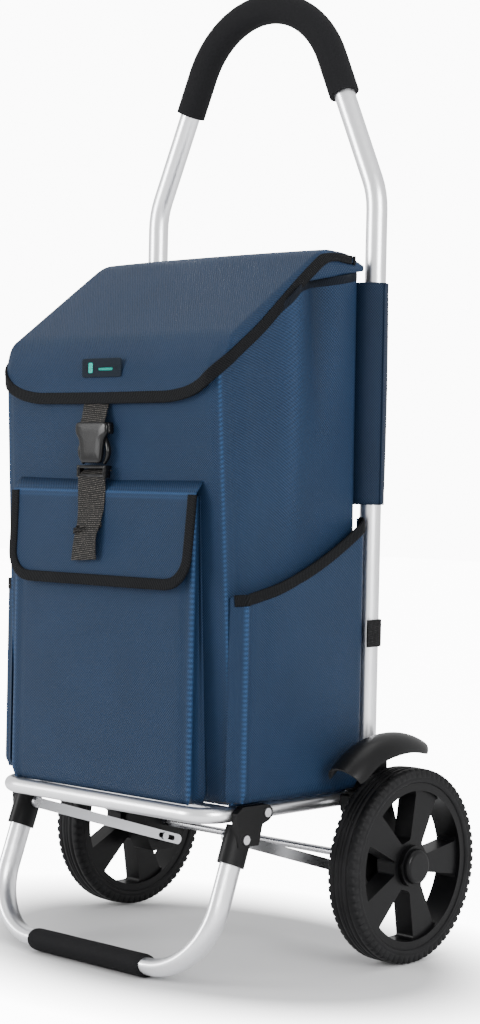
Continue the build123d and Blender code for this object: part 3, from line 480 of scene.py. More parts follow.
def bag_shell():
    """Rounded rectangle lofted upwards to a sloping rim, with folds pushed along its way out."""
    spots = outline()
    corner = 0.014
    levels = 90
    up = np.linspace(0, 1, levels)
    rows = []
    ridge = []
    for row, share in enumerate(up):
        z = np.full(len(spots), bag_floor + 0.0005)
        for _ in range(3):
            middle = (ahead(bag_front(z)) + bag_rear) / 2
            deep = (bag_rear - ahead(bag_front(z))) / 2
            y = middle + spots[:, 1] * (deep - corner) + spots[:, 3] * corner
            z = bag_floor + 0.0005 + share * (rim_height(y) - bag_floor - 0.0005)
        half = bag_half(z)
        x = spots[:, 0] * (half - corner) + spots[:, 2] * corner
        near_front = (spots[:, 1] < 0) & (np.abs(spots[:, 0]) > 0.6)
        slant = (np.abs(x) - half) - (ahead(bag_front(z)) - y)
        along_corner = np.where(near_front, slant, 1.0)
        pinch = seam_ridge(along_corner)
        side = np.abs(spots[:, 2]) ** 2
        push = pinch + side * soft_side(y, z) * smooth(0, 0.03, z - bag_floor)
        face = (spots[:, 3] < -0.5) * hump(x, 0, 0.13)
        push = push + face * 0.002 * np.sin(np.pi * share)
        tuck = 0.004 * (1 - smooth(0, 0.010, z - bag_floor))
        push = push - tuck
        rows.append(np.stack([x + spots[:, 2] * push, y + spots[:, 3] * push, z], axis=1))
        # Painted light for the ridge attribute: a highlight along the front corner seams, shade in the side's upright
        # crease, sheen on its swell.
        shadow = -0.55 * side * hump(y, ahead(0.098), 0.010) * smooth(0.50, 0.68, z)
        sheen = 0.22 * side * hump(y, ahead(0.142), 0.014) * smooth(0.36, 0.58, z)
        ridge.append(0.9 * hump(along_corner, 0, 0.0022) + shadow + sheen)
    wall = np.stack(rows, axis=1)
    floor = wall[:, :1].mean(axis=0, keepdims=True)
    shares = np.linspace(0, 1, 8)[:-1][None, :, None]
    bottom = floor + (wall[:, :1] - floor) * shares
    bottom[:, :, 2] = bag_floor + 0.0005
    grid = np.concatenate([bottom, wall], axis=1)
    marks = np.concatenate([np.zeros((len(spots), 7)), np.stack(ridge, axis=1)], axis=1)
    surface("bag_shell", grid, "bag", bag_cloth, ("bag_body",), around=True, ridge=marks,
            wall=cloth_wall, inside=(0, ahead(0.12), 0.42))
    rim = wall[:, -1]
    out = np.stack([spots[:, 2], spots[:, 3], np.zeros(len(spots))], axis=1)
    path = rim - out * 0.0010 + np.array([0, 0, -0.0036])
    carried("bag_rim_tape", path, out, np.array([0.0, 0.0, 1.0]), bar_section(0.0030, 0.0095), "bag",
            rim_tape, ("rim_binding",), closed=True)


bag_shell()


# ---- pockets ----
def pocket_wall(path, out, top, floor, ridge_at, ridge_height):
    """A wall standing on a plan line: rows rise from floor to top; its foot is tucked inwards."""
    levels = 56
    share = np.linspace(0, 1, levels)[None, :, None]
    base = np.concatenate([path, np.full((len(path), 1), floor)], axis=1)[:, None]
    lift = np.zeros((len(path), 1, 3))
    lift[:, 0, 2] = top - floor
    grid = base + lift * share
    tuck = 0.004 * (1 - smooth(0, 0.010, grid[:, :, 2] - floor))
    grid[:, :, :2] -= out[:, None, :] * tuck[:, :, None]
    along = lengths(path)
    pinch = sum(seam_ridge(along - place, ridge_height) for place in ridge_at)
    grid[:, :, :2] += out[:, None, :] * pinch[:, None, None]
    # Painted highlight along each pinched seam, returned for the ridge attribute.
    marks = sum(hump(along - place, 0, 0.0022) for place in ridge_at)
    return grid, np.broadcast_to(0.9 * marks[:, None], grid.shape[:2])


def plan_out(path, inside):
    """Level way out at each point of a plan line, away from inside."""
    way = np.gradient(path, axis=0)
    out = unit(np.stack([way[:, 1], -way[:, 0]], axis=1))
    flip = np.sign(np.sum(out * (path - inside), axis=1).mean())
    return out * flip


def front_pocket():
    """Box pocket: side gussets, pinched front seams and a front that fills out below the flap."""
    half = pocket_high[0]
    front = pocket_low[1]
    back = ahead(0.2165)
    corners = [(-half, back), (-half, front), (half, front), (half, back)]
    path = rounded(corners, [0.006, 0.006], 150)
    out = plan_out(path, np.array([0, back]))
    depth = back - front
    grid, marks = pocket_wall(path, out, pocket_high[2], pocket_low[2] + 0.0006, (depth - 0.002,
                              lengths(path)[-1] - depth + 0.002), 0.0030)
    x, y, z = grid[..., 0], grid[..., 1], grid[..., 2]
    facing = smooth(0.5, 1.0, -out[:, 1])[:, None]
    full = np.cos(np.clip(x / half, -1, 1) * np.pi / 2) ** 0.5
    grid[..., 1] -= facing * full * 0.004 * np.sin(np.pi * np.clip((z - pocket_low[2]) / 0.22, 0, 1)) ** 0.7
    side = smooth(0.6, 1.0, np.abs(out[:, 0]))[:, None] * (np.abs(y - back) > 0.004)
    grid[..., 0] -= side * np.sign(x) * 0.004 * hump(y, (front + back) / 2 + 0.004, 0.008)
    lean = np.clip((z - pocket_low[2]) / (pocket_high[2] - pocket_low[2]), 0, 1)
    join = smooth(0.012, 0.0, np.abs(y - back))
    grid[..., 1] -= join * 0.017 * lean
    surface("front_pocket_cloth", grid, "bag", bag_cloth, ("front_pocket",), ridge=marks,
            wall=cloth_wall, inside=(0, ahead(0.20), 0.32))


front_pocket()


def mouth_height(y):
    """The side pocket's sagging mouth: a parabola rising to the rear."""
    t = (y - ahead(0.204)) / 0.162
    return 0.3805 + 0.030 * t + 0.038 * t * t


def side_pocket(name, way):
    """Gusseted side pocket; way is 1 on the right and -1 on the left."""
    outer = side_high[0]
    front, rear = side_low[1], side_high[1]
    inner = bag_half(0.30) - 0.001
    corners = [(way * (inner - 0.001), front - 0.0095), (way * outer, front),
               (way * (outer - 0.001), rear), (way * inner, rear)]
    path = rounded(corners, [0.0035, 0.010], 130)
    out = plan_out(path, np.array([way * inner, (front + rear) / 2]))
    seam = lengths(path)[np.argmin(np.abs(path[:, 1] - front) + np.abs(path[:, 0] - way * outer))]
    top = mouth_height(path[:, 1])
    grid, marks = pocket_wall(path, out, top, side_low[2] + 0.0006, (seam,), 0.0026)
    y, z = grid[..., 1], grid[..., 2]
    facing = smooth(0.5, 1.0, way * out[:, 0])[:, None]
    share = np.clip((y - front) / (rear - front), 0, 1)
    height = np.clip((z - side_low[2]) / 0.22, 0, 1)
    grid[..., 0] += way * facing * (0.0035 * np.sin(np.pi * share) * np.sin(np.pi * height) ** 0.7
                                    - 0.002 * hump(share, 0.12, 0.07) * height)
    surface(f"{name}_cloth", grid, "bag", bag_cloth, (name,), ridge=marks, wall=cloth_wall,
            inside=(way * inner, (front + rear) / 2, 0.30))
    edge = grid[:, -1].copy()
    keep = np.flatnonzero(way * edge[:, 0] > inner + 0.002)
    edge = even(edge[keep], 120)
    flat = edge[:, :2]
    out = plan_out(flat, np.array([way * inner, (front + rear) / 2]))
    out = np.concatenate([out, np.zeros((len(out), 1))], axis=1)
    along = unit(np.gradient(edge, axis=0))
    down = unit(np.cross(along, out))
    down *= -np.sign(down[:, 2:3])
    path = edge - out * 0.0004 + down * 0.0040
    node = name.replace("pocket", "binding")
    carried(f"{name}_edging", path, out, down, bar_section(0.0032, 0.0115), "bag", edging, (node,))


side_pocket("side_pocket_right", 1)
side_pocket("side_pocket_left", -1)


# ---- sleeve and loops behind the bag ----
def sleeve():
    """Flat tube of cloth round both uprights, its rear wall a little slack between hems."""
    spots = outline(30, 8)
    half, corner = sleeve_high[0], 0.0185
    low_y, high_y = sleeve_low[1] - 0.0001, sleeve_high[1]
    middle, deep = (low_y + high_y) / 2, (high_y - low_y) / 2
    heights = np.linspace(sleeve_low[2], sleeve_high[2], 40)
    share = np.linspace(0, 1, 40)[None, :]
    x = (spots[:, 0] * (half - corner) + spots[:, 2] * corner)[:, None]
    y = (middle + spots[:, 1] * (deep - corner) + spots[:, 3] * corner)[:, None]
    z = np.broadcast_to(heights, (len(spots), 40))
    behind = smooth(0.3, 1.0, spots[:, 3])[:, None]
    beside = (np.abs(spots[:, 2]) ** 2)[:, None] * smooth(-0.6, 0.4, spots[:, 1])[:, None]
    slack = 0.0020 + 0.0010 * np.sin(9 * share * np.pi + x * 30)
    sag = behind * (np.cos(x / half * np.pi / 2) * slack + 0.0006 * (1 + np.cos(x * 40))) * np.sin(np.pi * share)
    hem = 0.0002 * (hump(z, sleeve_low[2] + 0.011, 0.0016) + hump(z, sleeve_high[2] - 0.011, 0.0016))
    push = sag + beside * 0.0004 * np.sin(np.pi * share) - hem * (behind + beside)
    grid = np.stack([x + spots[:, 2:3] * push, y + spots[:, 3:4] * push, z], axis=2)
    surface("sleeve_cloth", grid, "bag", sleeve_cloth, ("sleeve",), around=True, wall=0.0012)


sleeve()


def upright_loop(node):
    """Webbing round one upright: a long oval in plan, sewn flat against the bag's back."""
    low, high = boxes[node]
    middle_x = (low[0] + high[0]) / 2
    radius = (high[0] - low[0]) / 2 - 0.0009
    turn = np.radians(np.linspace(0, 180, 25))
    arc = np.stack([middle_x + radius * np.cos(turn), high[1] - 0.0009 - radius + radius * np.sin(turn)], axis=1)
    start = np.array([[middle_x + radius, low[1] + 0.001]])
    end = np.array([[middle_x - radius, low[1] + 0.001]])
    flat = even(np.concatenate([start, arc, end]), 60)
    path = np.concatenate([flat, np.full((60, 1), (low[2] + high[2]) / 2)], axis=1)
    out = plan_out(flat, np.array([middle_x, low[1] + radius]))
    out = np.concatenate([out, np.zeros((60, 1))], axis=1)
    carried(f"{node}_band", path, out, np.array([0.0, 0.0, 1.0]), bar_section(0.0018, high[2] - low[2], 20, 0.3),
            "bag", loop_webbing, (node,))


upright_loop("webbing_loop_left")
upright_loop("webbing_loop_right")


# ---- lid ----
lid_half = lid_high[0]
lid_front = lid_low[1]
lid_rear = lid_high[1] - 0.001


def lid_top(y):
    """Height of the lid's top: rounded rear edge, broad ridge, straight slope to the front."""
    places = [ahead(v) for v in (0.244, 0.104, 0.090, 0.060, 0.036, 0.0305)]
    heights = [0.6175, 0.7195, 0.7245, 0.7235, 0.7185, 0.7150]
    fine = np.linspace(places[0], places[-1], 200)
    raw = np.interp(fine, places, heights)
    padded = np.concatenate([raw[0] + (raw[1] - raw[0]) * np.arange(-6, 0), raw, np.full(6, raw[-1])])
    soft = np.convolve(padded, np.ones(13) / 13, "valid")
    return np.interp(y, fine, soft)


def lid_edge(position, half, depth):
    """Height of the lid's lower edge by distance round its plan from the front's middle."""
    side = half - 0.004
    knots = [0, 0.095, 0.120, 0.140, side, side + 0.016, side + 0.054, side + 0.110, side + 0.146, side + 0.158,
             side + depth - 0.014, side + depth + 0.01]
    heights = [0.5655, 0.566, 0.570, 0.578, 0.5925, 0.6065, 0.634, 0.683, 0.7115, 0.7165, 0.7135, 0.7085]
    fine = np.linspace(0, knots[-1], 400)
    raw = np.interp(fine, knots, heights)
    soft = np.convolve(np.pad(raw, 10, "edge"), np.ones(21) / 21, "valid")
    return np.interp(position, fine, soft)


def lid_cloth():
    """A cap over a rounded plan: a fan from the middle line, a rolled edge, then a skirt to the lower edge."""
    spots = outline(60, 14)
    corner = 0.019
    deep = (lid_rear - lid_front) / 2
    out = spots[:, 2:]
    forward = smooth(0.1, 1.0, -out[:, 1])
    side_roll, front_roll = 0.006, 0.026

    def ring(side_inset, front_inset):
        """The plan pulled in by one distance at the sides and rear and another in front."""
        half = lid_half - max(corner, side_inset)
        x = spots[:, 0] * half + out[:, 0] * max(corner - side_inset, 0)
        near, far = lid_front + max(corner, front_inset), lid_rear - max(corner, side_inset)
        bend = np.where(out[:, 1] < 0, max(corner - front_inset, 0), max(corner - side_inset, 0))
        return x, near + (spots[:, 1] + 1) / 2 * (far - near) + out[:, 1] * bend

    x, y = ring(0, 0)
    start = np.argmin(np.abs(x) + np.abs(y - lid_front))
    run = lengths(np.stack([np.roll(x, -start), np.roll(y, -start)], axis=1))
    run = np.roll(run, start)
    whole = run.max() + 0.0005
    position = np.minimum(run, whole - run)
    low = lid_edge(position, lid_half, lid_rear - lid_front)
    low = np.where(spots[:, 3] > 0.7, 0.7085, low)
    columns, drops = [], []
    for share in np.linspace(0, 1, 30):
        columns.append(ring(side_roll + (deep - side_roll) * (1 - share),
                            front_roll + (deep - front_roll) * (1 - share)))
        drops.append(np.zeros(len(x)))
    for angle in np.radians(np.linspace(10, 90, 9)):
        left = 1 - np.sin(angle)
        columns.append(ring(side_roll * left, front_roll * left))
        drops.append((side_roll + (front_roll - side_roll) * forward) * (1 - np.cos(angle)))
    px = np.stack([c[0] for c in columns], axis=1)
    py = np.stack([c[1] for c in columns], axis=1)
    drop = np.stack(drops, axis=1)
    quilt = 0.0022 * np.sin(np.pi * np.clip((py - lid_front) / (lid_rear - lid_front), 0, 1))
    dip = -0.0016 * hump(px, 0, 0.09) * hump(py, ahead(0.18), 0.05)
    crown = (quilt + dip) * np.cos(np.clip(px / lid_half, -1, 1) * np.pi / 2) ** 0.6
    pz = lid_top(np.clip(py, lid_front, lid_rear)) - drop + crown
    last = pz[:, -1]
    floor = np.minimum(low, last - 0.001)
    shares = np.linspace(0, 1, 14)[1:]
    skirt_z = last[:, None] + (floor - last)[:, None] * shares[None, :]
    hang = 0.0012 * np.sin(np.pi * shares)[None, :] * (np.abs(spots[:, 3]) > 0.5)[:, None]
    skirt_x = x[:, None] + out[:, :1] * hang
    skirt_y = y[:, None] + out[:, 1:] * hang
    gx = np.concatenate([px, skirt_x], axis=1)
    gy = np.concatenate([py, skirt_y], axis=1)
    gz = np.concatenate([pz, skirt_z], axis=1)
    grid = np.stack([gx, gy, gz], axis=2)
    below = np.concatenate([drop, drop[:, -1:] + (last[:, None] - skirt_z)], axis=1)
    uv = np.stack([gx + out[:, :1] * below, gy * 1.24 + out[:, 1:] * below], axis=2)
    uv = np.concatenate([uv, uv[:1]])
    # Painted highlight along the lid's ridge fold, for the ridge attribute.
    fold = 0.55 * hump(gy, ahead(0.094), 0.007) * (np.arange(gx.shape[1]) < 39)[None, :]
    surface("lid_cloth", grid, "lid", bag_cloth, ("lid",), around=True, uv=uv, ridge=fold,
            wall=cloth_wall, inside=(0, ahead(0.12), 0.55))
    rim = np.stack([x, y, floor], axis=1)
    first = np.argmin(np.abs(x - lid_half) + np.abs(y - (lid_rear - corner)))
    order = np.roll(np.arange(len(x)), -first)
    ring = rim[order]
    keep = ring[:, 1] < lid_rear - corner * 0.7
    ring, ways = ring[keep], out[order][keep]
    ways = np.concatenate([ways, np.zeros((len(ways), 1))], axis=1)
    count = 420
    along = lengths(ring)
    places = np.linspace(0, along[-1], count)
    path = np.stack([np.interp(places, along, ring[:, k]) for k in range(3)], axis=1)
    ways = unit(np.stack([np.interp(places, along, ways[:, k]) for k in range(3)], axis=1))
    run = unit(np.gradient(path, axis=0))
    up = unit(np.cross(ways, run))
    up *= np.sign(up[:, 2:3])
    thin = 0.35 + 0.65 * smooth(0.008, 0.0, path[:, 2] - 0.7085)
    carried("lid_edging", path + up * (0.0046 * thin[:, None]), ways, up, bar_section(0.0036, 0.0120), "lid",
            edging, ("lid_binding",), swell=0.55 + 0.45 * thin)


lid_cloth()


def lid_gusset(name, way):
    """Small side panel under the lid's ridge, from the rim's line up to the top's edge."""
    y = np.linspace(ahead(0.140), lid_rear, 60)
    top = lid_top(y) - 0.004
    low = rim_height(y) + 0.0012
    top = np.maximum(top, low + 0.0005)
    share = np.linspace(0, 1, 12)[None, :]
    z = low[:, None] + (top - low)[:, None] * share
    bow = 0.0008 * np.sin(np.pi * share)
    x = np.broadcast_to(way * (lid_half - 0.0022 + bow), z.shape)
    grid = np.stack([x, np.broadcast_to(y[:, None], z.shape), z], axis=2)
    surface(name, grid, "lid", bag_cloth, wall=0.0010, inside=(0, ahead(0.1), 0.7))


lid_gusset("lid_gusset_right", 1)
lid_gusset("lid_gusset_left", -1)


def lid_hinge_cloth():
    """Strip sewn to the rim behind and inside the lid's rear edge, so the open lid stays joined to the bag."""
    y = lid_rear - np.array([0.0010, 0.0010, 0.0009, 0.0008, 0.0012, 0.0019])
    z = bag_top + np.array([-0.0006, 0.0006, 0.0018, 0.0030, 0.0048, 0.0065])
    half = lid_half - 0.021      # inside the lid's rounded rear corners
    x, y = np.meshgrid(np.linspace(-1, 1, 60) * half, y)
    grid = np.stack([x, y, np.broadcast_to(z[:, None], x.shape)], axis=2)
    made = surface("lid_hinge_cloth", grid, None, bag_cloth, wall=0.0008, inside=(0, ahead(0.12), 0.7))
    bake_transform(made)


lid_hinge_cloth()


def rounded_tile(name, middle, half_wide, half_high, thick, corner, body, finish, nodes=()):
    """A thin sewn patch facing forwards: rings that shrink over a rounded edge to the middle."""
    turn = np.linspace(0, 2 * np.pi, 72, endpoint=False)
    wide = np.sign(np.cos(turn)) * np.abs(np.cos(turn)) ** corner
    high = np.sign(np.sin(turn)) * np.abs(np.sin(turn)) ** corner
    rings = []
    for inset, lift in ((0.0, 0.0), (0.0, 0.6), (0.0004, 0.9), (0.0009, 1.0), (half_high * 0.5, 1.0),
                        (half_high, 1.0)):
        a, b = max(half_wide - inset, 0.0), max(half_high - inset, 0.0)
        rings.append(np.stack([middle[0] + wide * a, np.full(72, middle[1] - lift * thick), middle[2] + high * b], 1))
    grid = np.stack(rings, axis=1)
    return surface(name, grid, body, finish, nodes, around=True, inside=(0, middle[1] + 0.1, middle[2]))


badge_middle = ((boxes["lid_patch"][0] + boxes["lid_patch"][1]) / 2)
rounded_tile("badge", (badge_middle[0] - 0.0025, lid_front - 0.0006, badge_middle[2]),
             0.0285, 0.0095, 0.0010, 0.12, "lid",
             badge_cloth, ("lid_patch",))
rounded_tile("badge_bar_tall", (badge_middle[0] - 0.018, lid_front - 0.0015, badge_middle[2]), 0.0030, 0.0052,
             0.0004, 0.3, "lid", badge_bar)
rounded_tile("badge_bar_long", (badge_middle[0] + 0.004, lid_front - 0.0015, badge_middle[2] - 0.0015), 0.0100,
             0.0012, 0.0004, 0.3, "lid", badge_bar)


# ---- pocket flap ----
flap_half = flap_high[0]
fold_z = flap_high[2]


def flap_line(z):
    """How far the flap stands ahead of the axle: flaring a little towards its lower edge."""
    down = np.clip((fold_z - z) / (fold_z - flap_low[2]), 0, 1)
    return 0.2452 + 0.0065 * down ** 1.3


def flap_cloth():
    """One sheet from the bag's front over the fold and down, its width closing round the lower corners."""
    corner = 0.030
    rest = np.linspace(0, 1, 61)
    hang = fold_z - 0.002 - rest * (fold_z - 0.002 - flap_low[2])
    above = hang - flap_low[2]
    inner = np.clip(corner - above, 0, corner)
    half = flap_half - 0.002 - 0.003 * rest - (corner - np.sqrt(np.maximum(corner ** 2 - inner ** 2, 0)))
    root_y = [ahead(bag_front(fold_z + 0.010) + 0.0004), ahead(0.2395), ahead(0.2435)]
    root_z = [fold_z + 0.012, fold_z + 0.0055, fold_z + 0.0015]
    y = np.concatenate([root_y, ahead(flap_line(hang))])
    z = np.concatenate([root_z, hang])
    half = np.concatenate([np.full(3, flap_half - 0.002), half])
    across = np.linspace(-1, 1, 70)
    x = half[:, None] * across[None, :]
    lift = 0.0012 * hump(np.abs(across), 0.55, 0.2)[None, :] * np.clip((fold_z - z) / 0.09, 0, 1)[:, None]
    py = np.broadcast_to(y[:, None], x.shape) - lift
    grid = np.stack([x, py, np.broadcast_to(z[:, None], x.shape)], axis=2)
    uv = np.stack([x, np.broadcast_to(lengths(np.stack([y, z], 1))[:, None], x.shape)], axis=2)
    # Painted highlight along the flap's fold, for the ridge attribute.
    fold = 0.7 * hump(z, fold_z - 0.002, 0.0035)[:, None] * np.ones((1, 70))
    made = surface("flap_cloth", grid, None, bag_cloth, ("pocket_flap", "flap_root"), uv=uv,
                   ridge=fold, wall=cloth_wall, inside=(0, ahead(0.1), 0.43))
    ahead(0.2440)
    ahead(0.2455)
    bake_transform(made)
    edge = np.concatenate([grid[3:, -1], grid[-1, ::-1], grid[3:, 0][::-1]])
    steps = np.concatenate([[True], np.linalg.norm(np.diff(edge, axis=0), axis=1) > 1e-6])
    path = even(edge[steps], 260)
    run = unit(np.gradient(path, axis=0))
    out = np.array([0.0, -1.0, 0.0])
    inward = unit(np.cross(run, out))
    towards = np.array([0, path[:, 1].mean(), fold_z - 0.02]) - path
    inward *= np.sign(np.sum(inward * towards, axis=1, keepdims=True))
    carried("flap_edging", path + inward * 0.0036, np.broadcast_to(out, path.shape), inward,
            bar_section(0.0034, 0.0112), "pocket_flap", edging, ("flap_binding",))


flap_cloth()


# ---- strap and buckle ----
buckle_y = (boxes["buckle_socket"][0][1] + boxes["buckle_socket"][1][1]) / 2
socket_low, socket_high = boxes["buckle_socket"]
plug_low, plug_high = boxes["buckle_plug"]


def ribbon(name, points, radii, half, body, nodes, count=90, wave=0.0, thick=0.0016):
    """Webbing along a side-view line of (y, z); its edges ripple by wave."""
    line = rounded(points, radii, count)
    path = np.stack([np.full(count, strap_x), line[:, 0], line[:, 1]], axis=1)
    path[:, 0] += wave * np.sin(np.linspace(0, 5.5, count))
    run = unit(np.gradient(path, axis=0))
    side = np.array([1.0, 0.0, 0.0])
    tilt = 0.14 * wave / 0.002 * np.sin(np.linspace(0.4, 6.4, count))[:, None] if wave else 0.0
    out = unit(np.cross(run, side) + tilt * side)
    across = unit(np.cross(out, run))
    section = bar_section(thick, 2 * half, 20, 0.3)
    return carried(name, path, out, across, section, body, strapping, nodes)


strap_half = (strap_high[0] - strap_low[0]) / 2
bar_top = socket_high[2]
ribbon("strap_down", [(lid_front + 0.0022, 0.583), (lid_front + 0.0018, 0.566), (buckle_y - 0.0015, bar_top + 0.003),
                      (buckle_y - 0.0045, bar_top - 0.004), (buckle_y - 0.0045, bar_top - 0.010)],
       [0.006, 0.006, 0.003], strap_half, "lid", ("strap_upper",), wave=0.0004)
ribbon("strap_root", [(ahead(0.2285), plug_low[2] + 0.007), (buckle_y + 0.0015, plug_low[2] + 0.008),
                      (buckle_y - 0.0005, plug_low[2] + 0.003)], [0.003], strap_half, "bag", ("strap_anchor",), 40)
tail = ribbon("strap_tail_band", [
    (buckle_y + 0.001, plug_low[2] + 0.006), (buckle_y - 0.0035, plug_low[2] + 0.001),
    (ahead(0.2475), fold_z + 0.001), (ahead(0.2488), fold_z - 0.030), (ahead(0.2535), strap_low[2] + 0.022),
    (ahead(0.2545), strap_low[2])], [0.002, 0.006, 0.010, 0.012], strap_half, None,
    ("strap_tail", "strap_tail_upper"), 120, wave=0.0016)
ahead(0.2475)
ahead(0.2475)
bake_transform(tail)


def pillow(name, outline_points, front, back, rounding, body, nodes=()):
    """A moulded plate: its outline shrinks over a rounded front edge and fills the crowned face."""
    points = np.array(outline_points, float)
    closed = np.concatenate([points, points[:1]])
    along = lengths(closed)
    count = 160
    places = np.linspace(0, along[-1], count, endpoint=False)
    line = np.stack([np.interp(places, along, closed[:, k]) for k in range(2)], axis=1)
    for _ in range(10):
        line = (np.roll(line, 1, 0) + 2 * line + np.roll(line, -1, 0)) / 4
    way = np.roll(line, -1, 0) - np.roll(line, 1, 0)
    out = unit(np.stack([way[:, 1], -way[:, 0]], axis=1))
    middle = line.mean(axis=0)
    out *= np.sign(np.sum(out * (line - middle)))
    rings = [(0.0, back, 1.0)]
    for angle in np.radians((0, 25, 50, 70, 90)):
        rings.append((rounding * (1 - np.cos(angle)), front + rounding * (1 - np.sin(angle)), 1.0))
    rings += [(rounding, front - 0.0004, s) for s in (0.8, 0.55, 0.3, 0.0)]
    grid = []
    for inset, depth, share in rings:
        flat = line - out * inset
        flat = middle + (flat - middle) * share
        grid.append(np.stack([strap_x + flat[:, 0], np.full(count, depth), flat[:, 1]], axis=1))
    grid = [np.broadcast_to(grid[0].mean(axis=0), grid[0].shape)] + grid
    return surface(name, np.stack(grid, axis=1), body, buckle_plastic, nodes, around=True)


def both_sides(points, lead=1):
    """A symmetric outline from its right side, top first; the mirror of the first lead points opens it."""
    other = [(-x, z) for x, z in reversed(points)]
    return other[-lead:] + points + other[:-lead]


top, low = socket_high[2], socket_low[2]
front, back = socket_low[1], socket_high[1]
shoulder = socket_high[0] - strap_x
pillow("buckle_head", both_sides([
    (shoulder - 0.003, top), (shoulder, top - 0.002), (shoulder, top - 0.012), (shoulder - 0.005, top - 0.017),
    (0.0165, top - 0.024), (0.0150, low), (0.0130, low - 0.0022)], 2),
       front - 0.001, front + 0.0030, 0.0022, "lid", ("buckle_socket",))
pillow("buckle_crossbar", both_sides([(shoulder - 0.001, top), (shoulder, top - 0.012)]),
       front + 0.0020, back, 0.0030, "lid")
plug_half = plug_high[0] - strap_x
plug_bottom = plug_low[2]
pillow("buckle_base", both_sides([(plug_half, plug_bottom + 0.0125), (plug_half, plug_bottom + 0.009)]),
       front + 0.0004, back, 0.0016, "bag", ("buckle_plug",))
pillow("buckle_lower_bar", both_sides([(plug_half - 0.001, plug_bottom + 0.004), (plug_half - 0.001, plug_bottom)]),
       front + 0.0004, back - 0.003, 0.0016, "bag")
for way in (-1, 1):
    x = way * (plug_half - 0.002)
    name = "right" if way > 0 else "left"
    pillow(f"buckle_post_{name}", [(x - 0.002, plug_low[2] + 0.0125), (x + 0.002, plug_low[2] + 0.0125),
                                   (x + 0.002, plug_low[2]), (x - 0.002, plug_low[2])],
           front + 0.0004, back - 0.002, 0.0012, "bag")


def release_arm(node, way):
    """Springy arm: leaves the base, swings out to a rounded finger pad and back in to its catch."""
    low, high = boxes[node]
    z = np.linspace(low[2], high[2], 40)
    share = np.linspace(0, 1, 40)
    x = strap_x + way * (0.0150 + 0.0052 * np.sin(np.pi * share ** 0.8) ** 1.2 + 0.001 * share)
    path = np.stack([x, np.full(40, (low[1] + high[1]) / 2), z], axis=1)
    run = unit(np.gradient(path, axis=0))
    depth = np.broadcast_to(np.array([0.0, -1.0, 0.0]), path.shape)
    across = unit(np.cross(run, depth))
    swell = 0.75 + 0.45 * np.sin(np.pi * share) - 0.25 * smooth(0.93, 1.0, share)
    carried(f"{node}_spring", path, depth, across, bar_section(high[1] - low[1], 0.0036, 20, 0.6), node,
            buckle_plastic, (node,), swell=swell)


release_arm("buckle_arm_left", -1)
release_arm("buckle_arm_right", 1)


# ---- foot foam ----
def foot_sleeve():
    """Oval foam sleeve whose ends are rounded over onto the tube."""
    count = 70
    x = np.linspace(foot_low[0], foot_high[0], count)
    middle = (foot_low + foot_high) / 2
    path = np.stack([x, np.full(count, middle[1]), np.full(count, middle[2])], axis=1)
    from_end = np.minimum(x - foot_low[0], foot_high[0] - x)
    soft = np.clip(from_end / 0.006, 0, 1)
    swell = 0.80 + 0.20 * np.sqrt(1 - (1 - soft) ** 2)
    swell += 0.006 * np.sin(x * 95)
    lean = np.radians(20.0)
    deep = np.array([0.0, np.cos(lean), -np.sin(lean)])
    flat = np.array([0.0, np.sin(lean), np.cos(lean)])
    turn = np.linspace(0, 2 * np.pi, 48, endpoint=False)
    section = np.stack([0.0160 * np.cos(turn), 0.0115 * np.sin(turn)], axis=1)
    carried("foot_foam_sleeve", path, deep, flat, section, "leg", foot_foam, ("leg_foot",), swell=swell)


foot_sleeve()


# ---- tyres ----
def tyre(node, body):
    """Section turned about the axle; shoulder lugs are a rounded square wave in the turn angle."""
    low, high = boxes[node]
    middle = (low + high) / 2
    radius, half = (high[2] - low[2]) / 2, (high[0] - low[0]) / 2
    turns = 576
    turn = np.linspace(0, 2 * np.pi, turns, endpoint=False)
    side = np.array([[13, 85], [15.2, 85.2], [16.4, 86], [16.9, 87.2], [17, 89.5], [16.7, 90.2], [17, 90.9],
                     [17, 94], [17, 96.4], [16.7, 97.6], [15.9, 98.6], [14.6, 99.2], [12.5, 99.5], [9, 99.7],
                     [8.2, 98.6], [7.0, 98.6], [6.4, 99.8], [3, 99.9], [2.2, 99.0], [1.2, 99.0], [0.6, 100]])
    w = np.concatenate([-side[:, 0], side[::-1, 0]]) / 17 * half
    r = np.concatenate([side[:, 1], side[::-1, 1]]) / 100 * radius
    edge = smooth(0.80, 0.90, np.abs(w) / half) * smooth(0.925, 0.955, r / radius)
    wave = np.sin(turn[:, None] * 72 + np.sign(w)[None, :] * 0.8)
    notch = smooth(0.1, 0.7, wave) * edge[None, :]
    rr = r[None, :] - 0.0012 * notch
    ww = w[None, :] - np.sign(w)[None, :] * 0.0010 * notch
    grid = np.stack([middle[0] + ww, middle[1] + rr * np.cos(turn)[:, None],
                     middle[2] + rr * np.sin(turn)[:, None]], axis=2)
    surface(f"{node}_tread", grid, body, tread, (node,), around=True, across=True)


tyre("tyre_left", "wheel_left")
tyre("tyre_right", "wheel_right")


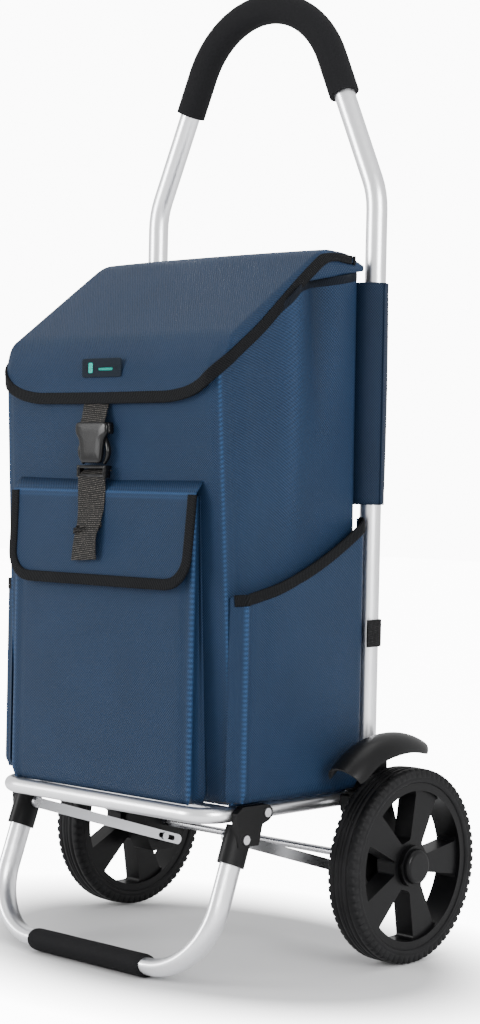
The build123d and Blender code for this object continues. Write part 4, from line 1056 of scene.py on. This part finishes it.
# ---- stage, light and camera ----
def stage():
    """Pale floor with a painted shadow round the trolley, soft key from the upper left, fill from the right, white
    surroundings.
    """
    mesh = bpy.data.meshes.new("floor")
    mesh.from_pydata([(-9, -9, 0), (9, -9, 0), (9, 9, 0), (-9, 9, 0)], [], [(0, 1, 2, 3)])
    floor = bpy.data.objects.new("floor", mesh)
    bpy.context.collection.objects.link(floor)
    pale = Finish("pale_floor", 0.9, Emission_Strength=far_glow)
    seen = pale.node("LightPath")
    spot = pale.node("TexCoord", output=3)
    # Painted shadow: inside an ellipse round the trolley's footprint the floor is greyer and gets no camera-only
    # glow; the mask below rises to 1 outside it.
    shrunk = pale.node("Mapping", {"vector_type": "TEXTURE"},
                       {0: spot, "Location": (0.03, -0.02, 0), "Scale": (0.34, 0.22, 1)})
    away = pale.node("VectorMath", {"operation": "LENGTH"}, {0: shrunk}, output=1)
    beyond_painted_shadow = away.above(0.75, 1.40)
    glow = beyond_painted_shadow.power(1.5) * seen
    # near is the painted shadow's grey; far is the floor's own pale grey.
    near, far = shade((0.60, 0.60, 0.605), 1.0), shade((0.92, 0.92, 0.925), 1.0)
    pale.feed("Base Color", pale.blend(beyond_painted_shadow.above(0.0, 0.5), near, far))
    pale.feed("Emission Color", glow)
    mesh.materials.append(pale.material)
    world = bpy.data.worlds.new("studio")
    world.use_nodes = True
    nodes, links = world.node_tree.nodes, world.node_tree.links
    path = nodes.new("ShaderNodeLightPath")
    scale = nodes.new("ShaderNodeMapRange")
    scale.inputs["To Min"].default_value = light_world
    scale.inputs["To Max"].default_value = far_glow
    links.new(path.outputs["Is Camera Ray"], scale.inputs["Value"])
    links.new(scale.outputs["Result"], nodes["Background"].inputs["Strength"])
    nodes["Background"].inputs["Color"].default_value = (1.0, 1.0, 1.0, 1)
    bpy.context.scene.world = world
    lights = [
        ("key", (-1.6, -2.6, 1.2), (0, 0, 0.5), 1.3, 80.0),
        ("side", (2.7, -0.6, 1.3), (0, 0, 0.5), 1.3, 75.0),
        ("top", (0.3, 0.5, 3.0), (0, 0, 0.4), 1.8, 22.0),
    ]
    for name, place, target, size, power in lights:
        data = bpy.data.lights.new(name, "AREA")
        data.size = size
        data.energy = power
        lamp = bpy.data.objects.new(name, data)
        back = unit(np.array(place) - np.array(target))
        right = unit(np.cross([0, 0, 1], back))
        up = np.cross(back, right)
        turn = Matrix(np.stack([right, up, back], axis=1).tolist()).to_4x4()
        lamp.matrix_world = Matrix.Translation(place) @ turn
        bpy.context.collection.objects.link(lamp)


def camera():
    """A long lens from the front right, level with the bag, rolled by about a degree."""
    azimuth, pitch, roll = np.radians((43.173, 0.929, 1.204))
    ahead_of = np.array([-np.sin(azimuth) * np.cos(pitch), np.cos(azimuth) * np.cos(pitch), -np.sin(pitch)])
    level = np.array([np.cos(azimuth), np.sin(azimuth), 0.0])
    above = np.cross(level, ahead_of)
    right = level * np.cos(roll) + above * np.sin(roll)
    up = above * np.cos(roll) - level * np.sin(roll)
    data = bpy.data.cameras.new("camera")
    data.sensor_fit = "VERTICAL"
    data.sensor_height = 36.0
    data.lens = 74.08
    data.clip_end = 60.0
    made = bpy.data.objects.new("camera", data)
    turn = Matrix(np.stack([right, up, -ahead_of], axis=1).tolist()).to_4x4()
    made.matrix_world = Matrix.Translation((1.55009, axle_y - 1.69224, 0.49285)) @ turn
    bpy.context.collection.objects.link(made)
    bpy.context.scene.camera = made


stage()
camera()
